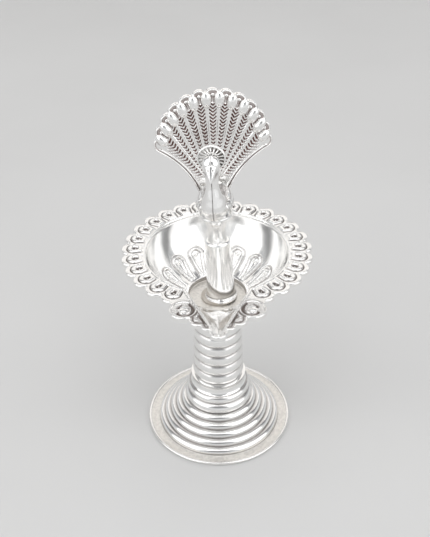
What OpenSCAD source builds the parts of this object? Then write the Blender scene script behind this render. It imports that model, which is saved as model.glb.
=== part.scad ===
// Standing oil lamp: spun foot, beaded stem, stamped bowl with a spout,
// and a peacock finial on a central post. Millimetres, +Z up.
// Origin: centre of the foot on the surface it stands on. The spout points to -Y.

/* [Foot] */
// Outer radius of the foot
foot_r = 31.75; // [27:0.25:42]
// Height of the foot up to the neck collar
foot_h = 21.5; // [17:0.5:28]
// Width of the smooth flange outside the beaded cone
flange_w = 5; // [3:0.25:8]
// Number of beads on the cone
cone_beads = 5; // [3:1:7]
// Thickness of the spun sheet
sheet = 0.9; // [0.7:0.05:1.2]

/* [Stem] */
// Length of the stem tube
stem_h = 34.7; // [26:0.5:60]
// Radius in the grooves at the bottom of the stem
stem_foot_r = 10.15; // [9.5:0.05:12.5]
// Radius in the grooves at the top of the stem
stem_top_r = 9; // [8.8:0.05:11]
// Number of beads on the stem
stem_beads = 7; // [4:1:12]
// Height of the plain collar between foot and stem
neck_h = 5.2; // [3.5:0.1:8]

/* [Bowl] */
// Inner radius of the bowl at its rim
bowl_r = 28; // [24:0.25:36]
// Depth of the bowl from its rim to the floor of the well
bowl_depth = 22.6; // [19:0.2:27.2]
// Radius of the sunk well in the middle of the bowl
well_r = 11.7; // [10.5:0.1:14]
// Depth of the well below the bowl's floor
well_depth = 2; // [1.4:0.1:3]
// Width of the scalloped border
border_w = 9.7; // [8:0.1:12]
// Number of lobes round the border
lobes = 25; // [15:2:33]
// Angle left free of lobes for the spout
spout_gap = 60; // [50:1:80]

/* [Spout] */
// Distance of the spout's tip from the axis
spout_reach = 49; // [45:0.5:62]
// Width of the channel where it leaves the bowl
spout_w = 21; // [16:0.5:25.5]
// Width of the channel at its tip
spout_tip_w = 2.6; // [1.8:0.1:4]

/* [Finial] */
// Radius of the post's shaft at its foot
post_r = 5.6; // [4.6:0.1:6.5]
// Height of the post from its foot to its shoulder
post_h = 27.6; // [20:0.2:40]
// Height of the cup between the post and the bird
calyx_h = 12.2; // [12:0.1:14.4]
// Angle by which the bird is turned from the spout
finial_turn = -4; // [-180:1:180]
// Angle by which the post and the bird lean to the -X side
finial_lean = 2.75; // [0:0.25:4]
// Radius of the tail fan, without its scallops
fan_r = 21.4; // [18:0.2:26]
// Height of the fan's centre above the meeting point of its ribs
fan_lift = 18.5; // [15:0.5:22]
// Angle by which the fan is turned from the bird
fan_twist = 8.5; // [0:0.5:10]
// Number of ribs on the fan
fan_ribs = 12; // [6:2:14]
// Thickness of the fan's plate
fan_t = 1; // [0.9:0.05:1.6]

/* [Screws and washers] */
// Radius of the thread that holds the bowl on the stem
bowl_thread_r = 6; // [5:0.1:7.2]
// Length of that thread
bowl_thread_h = 8; // [6:0.5:10]
// Radius of the stud that holds the finial in the bowl
stud_r = 2.5; // [1.5:0.1:3]
// Length of the stud in the post, and in the boss under the bowl
stud_h = 8; // [5:0.5:9.6]
// Radial clearance in the threads
thread_gap = 0.05; // [0.02:0.01:0.1]
// Radial gap filled with solder
solder_gap = 0.05; // [0.02:0.01:0.1]
// Radial clearance of plain holes that a thread passes through
hole_gap = 0.3; // [0.2:0.05:0.5]
// Thickness of the washer under the bowl
bowl_washer_t = 0.8; // [0.5:0.1:1.5]
// Thickness of the washer under the post
post_washer_t = 0.6; // [0.4:0.1:1.2]

/* [Hidden] */
$fn = 96;
eps = 0.01;
// Overrun of cutting bodies
cut = 1;
silver = [0.92, 0.92, 0.91];
brass = [0.80, 0.66, 0.38];
leather = [0.45, 0.33, 0.22];

// Foot: a beaded cone runs from the flange to two taller beads below the neck
flange_t = 1;
lip_r = 0.7;
lip_z = 0.75;
groove_inset = 0.2;
cone_r = foot_r - flange_w;
neck_r = stem_foot_r + 2;
neck_top = [neck_r, foot_h];
neck_mid = [neck_r + 0.8, foot_h * 0.83];
cone_top = [neck_r + 1.8, foot_h * 0.61];
cone_foot = [cone_r, flange_t];
cone_run = (cone_foot[0] - cone_top[0]) / (cone_top[1] - cone_foot[1]);
foot_bulge = 0.26;
foot_wall = 1.5 * sheet;
foot_plate_t = 1.2 * sheet;

// Heights of the parts stacked on the foot
stem_z = foot_h + neck_h;
bush_z = stem_z + stem_h;
bush_flange_h = 1.2;
washer_z = bush_z + bush_flange_h;
boss_z = washer_z + bowl_washer_t;
boss_flange_h = 2.5;
floor_z = boss_z + boss_flange_h + sheet;
rim_z = floor_z + bowl_depth;
post_z = floor_z + post_washer_t;

// Inner parts of the stand
stem_bulge = 0.13;
stem_bore_r = stem_top_r - 0.8;
spigot_h = 7;
tail_thread_r = 5;
nut_r = 8.5;
nut_h = 4;
base_washer_t = 1;
nut_z = foot_h - foot_plate_t - base_washer_t - nut_h;
tail_end_z = nut_z - 1;
boss_r = stem_top_r + 0.4;
collar_top_r = stem_foot_r + 0.5;
cove_r = 4;
cove_depth = 1.2;
bush_end = bush_z - bowl_thread_h - 1;
boss_end = boss_z - bowl_thread_h;
bowl_washer_r = boss_r - 0.2;

// Bowl: a spherical cap through the well's edge and the rim
well_z = floor_z + well_depth;
cap_h = rim_z - well_z;
cap_z = well_z + (bowl_r * bowl_r - well_r * well_r + cap_h * cap_h) / (2 * cap_h);
cap_r = norm([well_r, cap_z - well_z]);
border_t = 1;
flange_reach = 3.2;

// Border: a plate with lobes, each with a raised loop and a drop
lobe_pitch = (360 - spout_gap) / (lobes - 1);
border_r = bowl_r + border_w;
lobe_r = 4.1;
lobe_c = border_r - lobe_r;
loop_r = 3.2;
loop_line = 0.8;
loop_foot_w = 1.4;
loop_len = lobe_c - bowl_r - 1.6;
loop_drop_r = 1.15;
relief_h = 0.7;
bead_line = 1.1;
scroll_r = 5.2;
scroll_line = 1.1;
scroll_c = border_r + 2.2;
scroll_angle = 0.3 * spout_gap;
petal_r = 3.4;
petal_along = 0.44;
relief_edge = 0.5;
curl_drop = 0.4;
tip_r = 3.2;
tip_c = spout_reach + 1.2;
shoulder_angle = 0.46 * spout_gap;

// Spout: a V channel that rises from the well's edge. Its flat sides meet at spout_apex, beyond the tip
spout_start = well_r + 1.2 * sheet;
spout_apex = spout_reach + (spout_reach - bowl_r) * spout_tip_w / (spout_w - spout_tip_w);
spout_flare = spout_w / 2 / (spout_apex - bowl_r);
crease_drop = 0.3;
spout_slope = (rim_z - well_z + crease_drop) / (spout_apex - well_r);
side_t = 1.2 * sheet;
sky = 4;

// Post and the cup on it: the post stands a little off the stud
post_washer_r = post_r + 1;
post_top_r = 0.9 * post_r;
post_shift = 0.29 * post_r;
foot_flare = 1.7;
calyx_r = 3.8;
calyx_rim_r = 6.4;
calyx_neck = 0.4;
calyx_bend = 1.03;
calyx_waist = 0.26;
calyx_pin_r = 2;
calyx_pin_h = 5;

// Bird: stations from the crown to the tail root, measured from the top of the post:
// [back y, back z, front y, front z, half width]
bird_stations = [
    [-4.0, 38.9, -5.2, 38.9, 0.6],
    [-2.2, 37.9, -7.0, 37.6, 2.5],
    [-1.6, 35.4, -8.1, 34.9, 3.3],
    [-2.4, 31.8, -7.6, 31.0, 2.6],
    [-3.0, 28.2, -7.7, 27.0, 2.3],
    [-2.3, 24.4, -9.0, 22.2, 3.1],
    [0.2, 21.4, -9.8, 16.9, 4.7],
    [3.2, 20.9, -6.4, 11.7, 5.3],
    [6.0, 20.8, 0.8, 11.4, 4.6],
    [8.0, 20.2, 7.0, 13.6, 3.0],
    [8.6, 19.6, 8.6, 14.2, 2.6]];
bird_sub = 3;
bird_sides = 10;
bird_wall = 0.7;
beak_root = [0, -6.2, 35.0];
beak_tip = [0, -10.9, 30.5];
beak_r = 2.45;
beak_tip_r = 0.25;
crest_r = 5.3;
crest_t = 0.9;
crest_at = [-1.1, 36.1];
crest_notch = 0.4;
crest_ribs = 22;
crest_span = 290;
crest_rib_w = 0.4;
crest_rib_from = 0.55;
crest_rib_to = 0.95;

// Folded wing: stations from shoulder to tip, [y, z, half height, reach in x]
wing_stations = [
    [-6.6, 17.6, 0.6, 4.4],
    [-5.2, 17.2, 2.3, 6.0],
    [-2.0, 16.8, 3.5, 7.1],
    [2.0, 17.0, 3.2, 7.0],
    [5.6, 18.2, 2.3, 5.8],
    [8.2, 19.4, 0.6, 3.8]];
wing_sub = 3;
wing_sides = 8;
wing_root_x = 2;

// Fan: its ribs meet at fan_foot, and its rim is round about fan_c
tail_y = bird_stations[len(bird_stations) - 1][0];
saddle_t = 1;
saddle_r = 3.2;
saddle_z = 16.9;
fan_front = tail_y + saddle_t;
fan_foot = 17.4;
fan_c = fan_foot + fan_lift;
half_span = 79;
rib_pitch = 2 * half_span / (fan_ribs - 1);
rib_start = 7.5;
rib_r = [0.4, 0.85];
drop_r = 2.05;
drop_h = 1.4;
drop_c = fan_r - 2.3;
drop_tail = 3.4;
bump_r = 3.3;
bump_c = fan_r - 1.7;
bump_line = 0.5;
line_h = 0.45;
corner_r = 3.75;
corner_c = fan_r - 2.5;
corner_turn = 0.66;
eye_r = 0.75;
eye_c = bump_c + 1;
waist_w = 6.3;
waist_z = fan_foot - 1.6;
tab_z = fan_foot - 5;
side_r = 42;
waist_tilt = 24;
side_c = [waist_w + side_r * cos(waist_tilt), waist_z - side_r * sin(waist_tilt)];
side_line = 0.9;

// Point at fraction t from a to b
function between(a, b, t) = a + (b - a) * t;

// Smooth curve through stations, with sub points in each span
function spline_at(p, i, t) =
    let (last = len(p) - 1, a = p[max(i - 1, 0)], b = p[i], c = p[i + 1], d = p[min(i + 2, last)])
    0.5 * (2 * b + (c - a) * t + (2 * a - 5 * b + 4 * c - d) * t * t
           + (3 * b - a - 3 * c + d) * t * t * t);
function spline(p, sub) =
    [for (i = [0 : len(p) - 2], k = [0 : sub - 1]) spline_at(p, i, k / sub), p[len(p) - 1]];

// Two triangles of the quad a, b, c, d
function quad(a, b, c, d) = [[a, b, c], [a, c, d]];
function flat(list) = [for (part = list) for (item = part) item];

// Turned solid with round beads between groove points, top point first
module beaded(line, bulge) {
    foot = line[len(line) - 1][1];
    rotate_extrude() polygon(concat([[0, foot], [0, line[0][1]]], [for (p = line) p - [groove_inset, 0]]));
    for (i = [0 : len(line) - 2]) {
        half = norm(line[i + 1] - line[i]) / 2;
        rise = 2 * half * bulge;
        r = (half * half + rise * rise) / (2 * rise);
        along = (line[i + 1] - line[i]) / (2 * half);
        out = [-along[1], along[0]];
        rotate_extrude() intersection() {
            translate((line[i] + line[i + 1]) / 2 - out * (r - rise)) circle(r);
            polygon([line[i] - [2 * groove_inset, 0], line[i + 1] - [2 * groove_inset, 0],
                     line[i + 1] + 2 * rise * out, line[i] + 2 * rise * out]);
        }
    }
}

module ring(outer, inner, z, h) {
    translate([0, 0, z]) difference() {
        cylinder(r = outer, h = h);
        translate([0, 0, -cut]) cylinder(r = inner, h = h + 2 * cut);
    }
}

// Spun foot: beaded cone, flat flange with a rolled lip, open below
foot_grooves = concat([neck_top, neck_mid],
    [for (i = [0 : cone_beads]) between(cone_top, cone_foot, i / cone_beads)]);
module foot_shell() {
    color(silver) difference() {
        intersection() {
            union() {
                beaded(foot_grooves, foot_bulge);
                cylinder(r = foot_r - lip_r, h = flange_t);
                rotate_extrude() translate([foot_r - lip_r, lip_z]) circle(lip_r);
            }
            cylinder(r = foot_r + cut, h = foot_h);
        }
        rotate_extrude() polygon([
            [0, -cut], [cone_r - foot_wall + cone_run * (flange_t + cut), -cut],
            cone_top - [foot_wall, 0], neck_mid - [foot_wall, 0],
            [neck_r - foot_wall, foot_h - foot_plate_t], [0, foot_h - foot_plate_t]]);
        cylinder(r = tail_thread_r + solder_gap, h = foot_h + cut);
    }
}

module base_washer() {
    color(brass) ring(nut_r, tail_thread_r + hole_gap, nut_z + nut_h, base_washer_t);
}

// Hexagonal nut that pulls the collar down on the foot
module base_nut() {
    color(brass) translate([0, 0, nut_z]) difference() {
        cylinder(r = nut_r, h = nut_h, $fn = 6);
        translate([0, 0, -cut]) cylinder(r = tail_thread_r + thread_gap, h = nut_h + 2 * cut);
    }
}

// Plain collar with a spigot in the stem and a threaded tail through the foot
module neck_collar() {
    color(silver) rotate_extrude() {
        difference() {
            polygon([[0, foot_h], [neck_r, foot_h], [collar_top_r, stem_z], [0, stem_z]]);
            translate([neck_r + cove_r - cove_depth, (foot_h + stem_z) / 2]) circle(cove_r);
        }
        translate([0, stem_z - eps]) square([stem_bore_r - solder_gap, spigot_h]);
        translate([0, tail_end_z]) square([tail_thread_r, foot_h - tail_end_z + eps]);
    }
}

// Beaded tube with a plain bore
module stem_tube() {
    grooves = [for (i = [0 : stem_beads])
        between([stem_top_r, bush_z], [stem_foot_r, stem_z], i / stem_beads)];
    color(silver) difference() {
        intersection() {
            beaded(grooves, stem_bulge);
            translate([0, 0, stem_z]) cylinder(r = 2 * stem_foot_r, h = stem_h);
        }
        translate([0, 0, stem_z - cut]) cylinder(r = stem_bore_r, h = stem_h + 2 * cut);
    }
}

// Bush soldered in the top of the stem, threaded for the bowl
module stem_bush() {
    color(silver) difference() {
        union() {
            translate([0, 0, bush_z]) cylinder(r = boss_r, h = bush_flange_h);
            translate([0, 0, bush_end]) cylinder(r = stem_bore_r - solder_gap, h = bush_z - bush_end + eps);
        }
        translate([0, 0, bush_end - cut])
            cylinder(r = bowl_thread_r + thread_gap, h = washer_z - bush_end + 2 * cut);
    }
}

module bowl_washer() {
    color(leather) ring(bowl_washer_r, bowl_thread_r + hole_gap, washer_z, bowl_washer_t);
}

// Boss under the well: thread for the stem outside, thread for the finial inside
module bowl_boss() {
    color(silver) difference() {
        union() {
            translate([0, 0, boss_z]) cylinder(r = boss_r, h = boss_flange_h);
            translate([0, 0, boss_end]) cylinder(r = bowl_thread_r, h = bowl_thread_h + eps);
        }
        translate([0, 0, boss_end - cut])
            cylinder(r = stud_r + thread_gap, h = bowl_thread_h + boss_flange_h + 2 * cut);
    }
}

// Half section of the space inside the bowl, from the well's floor to above the rim
module bowl_space() {
    intersection() {
        translate([0, cap_z]) circle(cap_r);
        translate([0, well_z - eps]) square([2 * bowl_r, cap_h - border_t + eps]);
    }
    translate([0, floor_z]) square([well_r, well_depth]);
    translate([0, rim_z - border_t - eps]) square([bowl_r, border_t + sky]);
}

// Stamped bowl: spherical wall, sunk well and a narrow flange under the border
module bowl_shell() {
    color(silver) difference() {
        rotate_extrude() difference() {
            union() {
                intersection() {
                    translate([0, cap_z]) circle(cap_r + sheet);
                    translate([0, floor_z - sheet]) square([2 * bowl_r, bowl_depth + sheet - border_t]);
                }
                translate([0, floor_z - sheet]) square([well_r + sheet, well_depth + sheet]);
                translate([0, rim_z - border_t - sheet]) square([bowl_r + flange_reach, sheet]);
            }
            bowl_space();
            translate([0, floor_z - sheet - cut]) square([stud_r + hole_gap, sheet + 2 * cut]);
        }
        spout_void();
    }
}

// Outline of one raised loop, outward is -Y
module loop(r, foot_w) {
    circle(r);
    polygon([[-r, 0], [r, 0], [foot_w, loop_len], [-foot_w, loop_len]]);
}

module at_lobe(i) {
    rotate(spout_gap / 2 + i * lobe_pitch) translate([0, -lobe_c]) children();
}

// Places beside the spout on the +X side, from the border to the tip
scroll_at = scroll_c * [sin(scroll_angle), -cos(scroll_angle)];
tip_at = [0, -tip_c];
petal_at = between(scroll_at, tip_at, petal_along);

module both_sides() {
    children();
    mirror([1, 0]) children();
}

// Raised ring with a drop inside
module curl(r, line) {
    difference() {
        circle(r);
        circle(r - line);
    }
    circle(curl_drop * (r - line));
}

// Plate round the spout, out to the scroll, the petal and the tip
module spout_plate() {
    shoulder = lobe_c * [sin(shoulder_angle), -cos(shoulder_angle)];
    both_sides() {
        polygon([[0, 0], shoulder, scroll_at, petal_at, tip_at]);
        translate(scroll_at) circle(scroll_r);
        translate(petal_at) circle(petal_r);
    }
    translate(tip_at) circle(tip_r);
}

// Scalloped border: plate with lobes, loops, drops, scrolls and petals
module rim_border() {
    plate_z = rim_z - border_t;
    color(silver) difference() {
        union() {
            translate([0, 0, plate_z]) linear_extrude(border_t) difference() {
                union() {
                    circle(lobe_c);
                    for (i = [0 : lobes - 1]) at_lobe(i) circle(lobe_r);
                    spout_plate();
                }
                circle(bowl_r);
            }
            translate([0, 0, plate_z]) linear_extrude(border_t + relief_h) {
                difference() {
                    circle(bowl_r + bead_line);
                    circle(bowl_r);
                }
                for (i = [0 : lobes - 1]) at_lobe(i) {
                    difference() {
                        loop(loop_r, loop_foot_w);
                        loop(loop_r - loop_line, loop_foot_w - loop_line);
                    }
                    circle(loop_drop_r);
                }
                both_sides() {
                    translate(scroll_at) curl(scroll_r - relief_edge, scroll_line);
                    translate(petal_at) curl(petal_r - relief_edge, loop_line);
                }
            }
        }
        spout_void();
    }
}

// Solid through sections of n points each, whose end faces are the polygons in caps
module sections(points, n, caps) {
    rows = len(points) / n;
    sides = flat([for (k = [0 : rows - 2], j = [0 : n - 1])
        quad(k * n + j, k * n + (j + 1) % n, (k + 1) * n + (j + 1) % n, (k + 1) * n + j)]);
    start = [for (cap = caps) [for (j = [len(cap) - 1 : -1 : 0]) cap[j]]];
    end = [for (cap = caps) [for (j = cap) (rows - 1) * n + j]];
    polyhedron(points, concat(sides, start, end));
}
function whole(n) = [[for (j = [0 : n - 1]) j]];

// Section of the spout's wedge at distance r, with its sides moved out by wall and carried up by rise
function wedge_line(r, wall, rise) =
    let (run = spout_apex + wall / spout_flare - r, w = spout_flare * run, low = rim_z - spout_slope * run,
         top = rim_z + rise)
    rise > 0 ? [[0, -r, low], [-w, -r, rim_z], [-w, -r, top], [w, -r, top], [w, -r, rim_z]]
             : [[0, -r, low], [-w, -r, rim_z], [w, -r, rim_z]];
module spout_wedge(wall, from, to, rise) {
    points = concat(wedge_line(from, wall, rise), wedge_line(to, wall, rise));
    n = len(points) / 2;
    sides = [for (j = [0 : n - 1]) [j, (j + 1) % n, n + (j + 1) % n, n + j]];
    polyhedron(points, concat(sides, [[for (j = [n - 1 : -1 : 0]) j]], [[for (j = [0 : n - 1]) n + j]]));
}

// Space taken out of the bowl and the border for the spout
module spout_void() {
    spout_wedge(side_t, spout_start, spout_reach, sky);
}

// V channel, cut to the inside of the bowl
module spout_lip() {
    color(silver) difference() {
        spout_wedge(side_t, spout_start, spout_reach, 0);
        spout_wedge(0, spout_start - cut, spout_reach + cut, sky);
        rotate_extrude() bowl_space();
    }
}

module post_washer() {
    color(leather) ring(post_washer_r, stud_r + hole_gap, floor_z, post_washer_t);
}

module finial_stud() {
    stud_z = floor_z - sheet - stud_h;
    color(silver) translate([0, 0, stud_z]) cylinder(r = stud_r, h = post_z + stud_h - stud_z);
}

// Place of the post on its seat, and of everything above the post
module leaning() {
    translate([post_shift, 0, post_z]) rotate([0, -finial_lean, 0]) children();
}

module finial() {
    leaning() translate([0, 0, post_h]) rotate(finial_turn) children();
}

// Turned post with a flared foot and a round shoulder, cut flat below and socketed on the upright stud
module perch_post() {
    shoulder_r = post_top_r - calyx_r;
    shoulder_z = post_h - shoulder_r;
    reach = 2 * (post_r + foot_flare);
    color(silver) difference() {
        leaning() rotate_extrude() difference() {
            union() {
                polygon([[0, -cut], [post_r, -cut], [post_r, 0], [post_top_r, shoulder_z], [0, shoulder_z]]);
                square([calyx_r, post_h]);
                translate([calyx_r, shoulder_z]) circle(shoulder_r);
                difference() {
                    translate([0, -cut]) square([post_r + foot_flare, 2 * foot_flare + cut]);
                    translate([post_r + 2 * foot_flare, 3 * foot_flare]) circle(2 * foot_flare);
                }
            }
            translate([0, post_h - calyx_pin_h]) square([calyx_pin_r + solder_gap, calyx_pin_h + cut]);
        }
        translate([-reach, -reach, post_z - 2 * cut]) cube([2 * reach, 2 * reach, 2 * cut]);
        translate([0, 0, post_z - cut]) cylinder(r = stud_r + solder_gap, h = stud_h + cut);
    }
}

// Cup with a pin in the post, dished to the bird's belly
module belly_calyx() {
    color(silver) finial() difference() {
        rotate_extrude() {
            difference() {
                square([calyx_rim_r, calyx_h]);
                translate([calyx_r - calyx_neck + calyx_bend * calyx_h, calyx_waist * calyx_h])
                    circle(calyx_bend * calyx_h);
            }
            translate([0, -calyx_pin_h]) square([calyx_pin_r, calyx_pin_h + eps]);
        }
        bird_solid();
    }
}

// Points on the bird: station s, angle a from the back over +X to the front
function bird_point(s, a, inset) =
    let (back = [s[0], s[1]], front = [s[2], s[3]], half = (back - front) / 2,
         keep = max(0, 1 - inset / norm(half)), yz = (back + front) / 2 + half * keep * cos(a))
    [max(0, s[4] - inset) * sin(a), yz[0], yz[1]];
bird_rings = spline(bird_stations, bird_sub);
bird_n = len(bird_rings);

// Whole bird, for the pieces that seat on it
module bird_solid() {
    n = 2 * bird_sides;
    sections([for (s = bird_rings, j = [0 : n - 1]) bird_point(s, -180 * j / bird_sides, 0)], n, whole(n));
}

// Right half of the hollow bird, open along the seam
module bird_half() {
    m = bird_sides + 1;
    first = bird_sub;
    last = bird_n - 1 - bird_sub;
    outer = [for (s = bird_rings, j = [0 : bird_sides]) bird_point(s, 180 * j / bird_sides, 0)];
    inner = [for (i = [first : last], j = [0 : bird_sides])
        bird_point(bird_rings[i], 180 * j / bird_sides, bird_wall)];
    shift = len(outer) - first * m;
    skin = flat([for (i = [0 : bird_n - 2], j = [0 : m - 2])
        quad(i * m + j + 1, i * m + j, (i + 1) * m + j, (i + 1) * m + j + 1)]);
    lining = flat([for (i = [first : last - 1], j = [0 : m - 2])
        quad(shift + i * m + j, shift + i * m + j + 1,
             shift + (i + 1) * m + j + 1, shift + (i + 1) * m + j)]);
    back_seam = flat([for (i = [first : last - 1])
        quad(i * m, shift + i * m, shift + (i + 1) * m, (i + 1) * m)]);
    front_seam = flat([for (i = [first : last - 1])
        quad(shift + i * m + m - 1, i * m + m - 1, (i + 1) * m + m - 1, shift + (i + 1) * m + m - 1)]);
    solid_seam = flat([for (i = [each [0 : first - 2], each [last + 1 : bird_n - 2]])
        quad(i * m, i * m + m - 1, (i + 1) * m + m - 1, (i + 1) * m)]);
    above = (first - 1) * m;
    below = (last + 1) * m;
    crown_seam = concat(
        quad(above, above + m - 1, shift + first * m + m - 1, shift + first * m),
        [[above, shift + first * m, first * m],
         [above + m - 1, first * m + m - 1, shift + first * m + m - 1]]);
    tail_seam = concat(
        quad(shift + last * m, shift + last * m + m - 1, below + m - 1, below),
        [[last * m, shift + last * m, below],
         [shift + last * m + m - 1, last * m + m - 1, below + m - 1]]);
    ends = [
        [for (j = [0 : m - 1]) j],
        [for (j = [m - 1 : -1 : 0]) (bird_n - 1) * m + j],
        [for (j = [m - 1 : -1 : 0]) shift + first * m + j],
        [for (j = [0 : m - 1]) shift + last * m + j]];
    polyhedron(concat(outer, inner),
        concat(skin, lining, back_seam, front_seam, solid_seam, crown_seam, tail_seam, ends));
}

module bird_right() {
    color(silver) finial() bird_half();
}

module bird_left() {
    color(silver) finial() mirror([1, 0, 0]) bird_half();
}

module beak() {
    reach = beak_tip - beak_root;
    color(silver) finial() difference() {
        translate(beak_root) {
            sphere(beak_r);
            rotate([90 + atan2(-reach[2], -reach[1]), 0, 0])
                cylinder(r1 = beak_r, r2 = beak_tip_r, h = norm(reach));
        }
        bird_solid();
    }
}

// Ribbed comb behind the head
module crest() {
    color(silver) finial() difference() {
        translate([0, crest_at[0], crest_at[1]]) rotate([90, 0, 0]) {
            linear_extrude(crest_t) difference() {
                circle(crest_r);
                polygon([[0, -crest_notch], [-1, -1 - crest_notch], [1, -1 - crest_notch]] * crest_r);
            }
            for (i = [0 : crest_ribs - 1]) {
                rotate(90 + crest_span * (i / (crest_ribs - 1) - 0.5))
                    translate([crest_rib_from * crest_r, -crest_rib_w / 2, crest_t / 2])
                    cube([(crest_rib_to - crest_rib_from) * crest_r, crest_rib_w, crest_t]);
            }
        }
        bird_solid();
    }
}

// Folded wing on the +X side, seated on the bird
module wing() {
    rings = spline(wing_stations, wing_sub);
    n = wing_sides + 1;
    difference() {
        sections([for (s = rings, j = [0 : wing_sides])
            let (a = 90 - 180 * j / wing_sides)
            [wing_root_x + (s[3] - wing_root_x) * cos(a), s[0], s[1] + s[2] * sin(a)]], n, whole(n));
        bird_solid();
    }
}

module wing_right() {
    color(silver) finial() wing();
}

module wing_left() {
    color(silver) finial() mirror([1, 0, 0]) wing();
}

// Place of the fan: its front face is turned about the middle of the saddle
module fan_plane() {
    finial() translate([0, fan_front, 0]) rotate(fan_twist) children();
}

// Wedge-shaped disc between the bird's tail root and the fan
module tail_saddle() {
    color(silver) difference() {
        finial() translate([0, tail_y + 2 * saddle_t, saddle_z]) rotate([90, 0, 0])
            cylinder(r = saddle_r, h = 2 * saddle_t);
        fan_plane() translate([-2 * saddle_r, 0, saddle_z - 2 * saddle_r]) cube(4 * saddle_r);
    }
}

// Outline of the fan in the plane of x and z
module at_bump(k) {
    translate([0, fan_c]) rotate(k * rib_pitch) translate([0, bump_c]) children();
}

module fan_outline() {
    for (k = [-(fan_ribs - 2) / 2 : (fan_ribs - 2) / 2]) at_bump(k) circle(bump_r);
    for (side = [-1, 1]) {
        translate([0, fan_c]) rotate(side * (half_span + corner_turn * rib_pitch))
            translate([0, corner_c]) circle(corner_r);
    }
    difference() {
        union() {
            intersection() {
                translate([0, fan_c]) circle(fan_r);
                translate([-fan_r, waist_z]) square([2 * fan_r, fan_c + fan_r]);
            }
            translate([-waist_w, tab_z]) square([2 * waist_w, fan_lift]);
        }
        for (side = [-1, 1]) translate([side * side_c[0], side_c[1]]) circle(side_r);
    }
}

// Raised lines along the hollow sides of the fan and round its scallops
module fan_lines() {
    intersection() {
        translate([0, fan_c]) circle(fan_r);
        translate([-fan_r, waist_z]) square([2 * fan_r, fan_lift]);
        for (side = [-1, 1]) translate([side * side_c[0], side_c[1]]) difference() {
            circle(side_r + side_line);
            circle(side_r);
        }
    }
    for (k = [-(fan_ribs - 2) / 2 : (fan_ribs - 2) / 2]) at_bump(k) difference() {
        circle(bump_r);
        circle(bump_r - bump_line);
        translate([-bump_r - cut, -2 * bump_r]) square(2 * bump_r + 2 * cut);
    }
}

// Dome of height h that stands on the fan's face
module dome(r, h) {
    ball = (r * r + h * h) / (2 * h);
    rotate_extrude() intersection() {
        translate([0, h - ball]) circle(ball);
        translate([0, -fan_t / 2]) square([r, h + fan_t / 2]);
    }
}

// Tail fan: scalloped plate with raised lines, and with tapered ribs that end in drops
module tail_fan() {
    color(silver) fan_plane() translate([0, fan_t, 0]) rotate([90, 0, 0]) {
        linear_extrude(fan_t) fan_outline();
        linear_extrude(fan_t + line_h) fan_lines();
        for (i = [0 : fan_ribs - 1]) {
            a = rib_pitch * (i - (fan_ribs - 1) / 2);
            tip = [-drop_c * sin(a), fan_lift + drop_c * cos(a)];
            along = norm(tip);
            translate([0, fan_foot, fan_t]) rotate(atan2(-tip[0], tip[1])) {
                translate([0, rib_start, 0]) rotate([-90, 0, 0])
                    cylinder(r1 = rib_r[0], r2 = rib_r[1], h = along - rib_start);
                translate([0, along - drop_tail, 0]) rotate([-90, 0, 0])
                    cylinder(r1 = rib_r[0], r2 = drop_h, h = drop_tail);
                translate([0, along, 0]) dome(drop_r, drop_h);
            }
        }
        for (k = [-(fan_ribs - 2) / 2 : (fan_ribs - 2) / 2]) {
            translate([0, fan_c, fan_t]) rotate(k * rib_pitch) translate([0, eye_c, 0])
                dome(eye_r, eye_r);
        }
    }
}

foot_shell();
base_washer();
base_nut();
neck_collar();
stem_tube();
stem_bush();
bowl_washer();
bowl_boss();
bowl_shell();
rim_border();
spout_lip();
post_washer();
finial_stud();
perch_post();
belly_calyx();
bird_left();
bird_right();
beak();
crest();
wing_left();
wing_right();
tail_saddle();
tail_fan();
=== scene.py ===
"""Looks of the standing oil lamp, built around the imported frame.

Sizes are in millimetres; put() makes metres."""
import math

import bmesh
import bpy
import numpy as np
from mathutils import Matrix, Vector
from mathutils.geometry import delaunay_2d_cdt
from mathutils.kdtree import KDTree


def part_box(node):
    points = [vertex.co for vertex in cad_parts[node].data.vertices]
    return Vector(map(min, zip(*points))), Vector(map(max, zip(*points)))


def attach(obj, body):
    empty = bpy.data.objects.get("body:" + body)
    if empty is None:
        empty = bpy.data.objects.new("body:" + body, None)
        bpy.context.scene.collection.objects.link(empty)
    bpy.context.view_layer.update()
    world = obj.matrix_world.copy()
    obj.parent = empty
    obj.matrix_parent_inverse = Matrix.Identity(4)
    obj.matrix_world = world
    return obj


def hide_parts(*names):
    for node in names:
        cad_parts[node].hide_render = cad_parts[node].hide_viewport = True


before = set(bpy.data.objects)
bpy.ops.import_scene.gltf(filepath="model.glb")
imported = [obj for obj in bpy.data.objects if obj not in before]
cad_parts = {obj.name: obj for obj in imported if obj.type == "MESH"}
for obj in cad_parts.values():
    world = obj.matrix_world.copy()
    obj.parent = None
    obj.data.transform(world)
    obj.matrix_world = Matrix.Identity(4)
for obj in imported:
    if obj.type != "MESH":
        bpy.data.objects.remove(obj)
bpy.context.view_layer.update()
MM = 0.001


def low(node):
    """Lowest corner of a CAD node, in millimetres."""
    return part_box(node)[0] / MM


def high(node):
    """Highest corner of a CAD node, in millimetres."""
    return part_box(node)[1] / MM


# Sizes taken from the frame
FOOT_R = high("foot_shell").x
FOOT_H = high("foot_shell").z
STEM_Z = low("stem_tube").z
BUSH_Z = high("stem_tube").z
FLOOR_Z = low("post_washer").z
POST_Z = high("post_washer").z
RIM_Z = high("spout_lip").z
BORDER_R = high("rim_border").y

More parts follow.
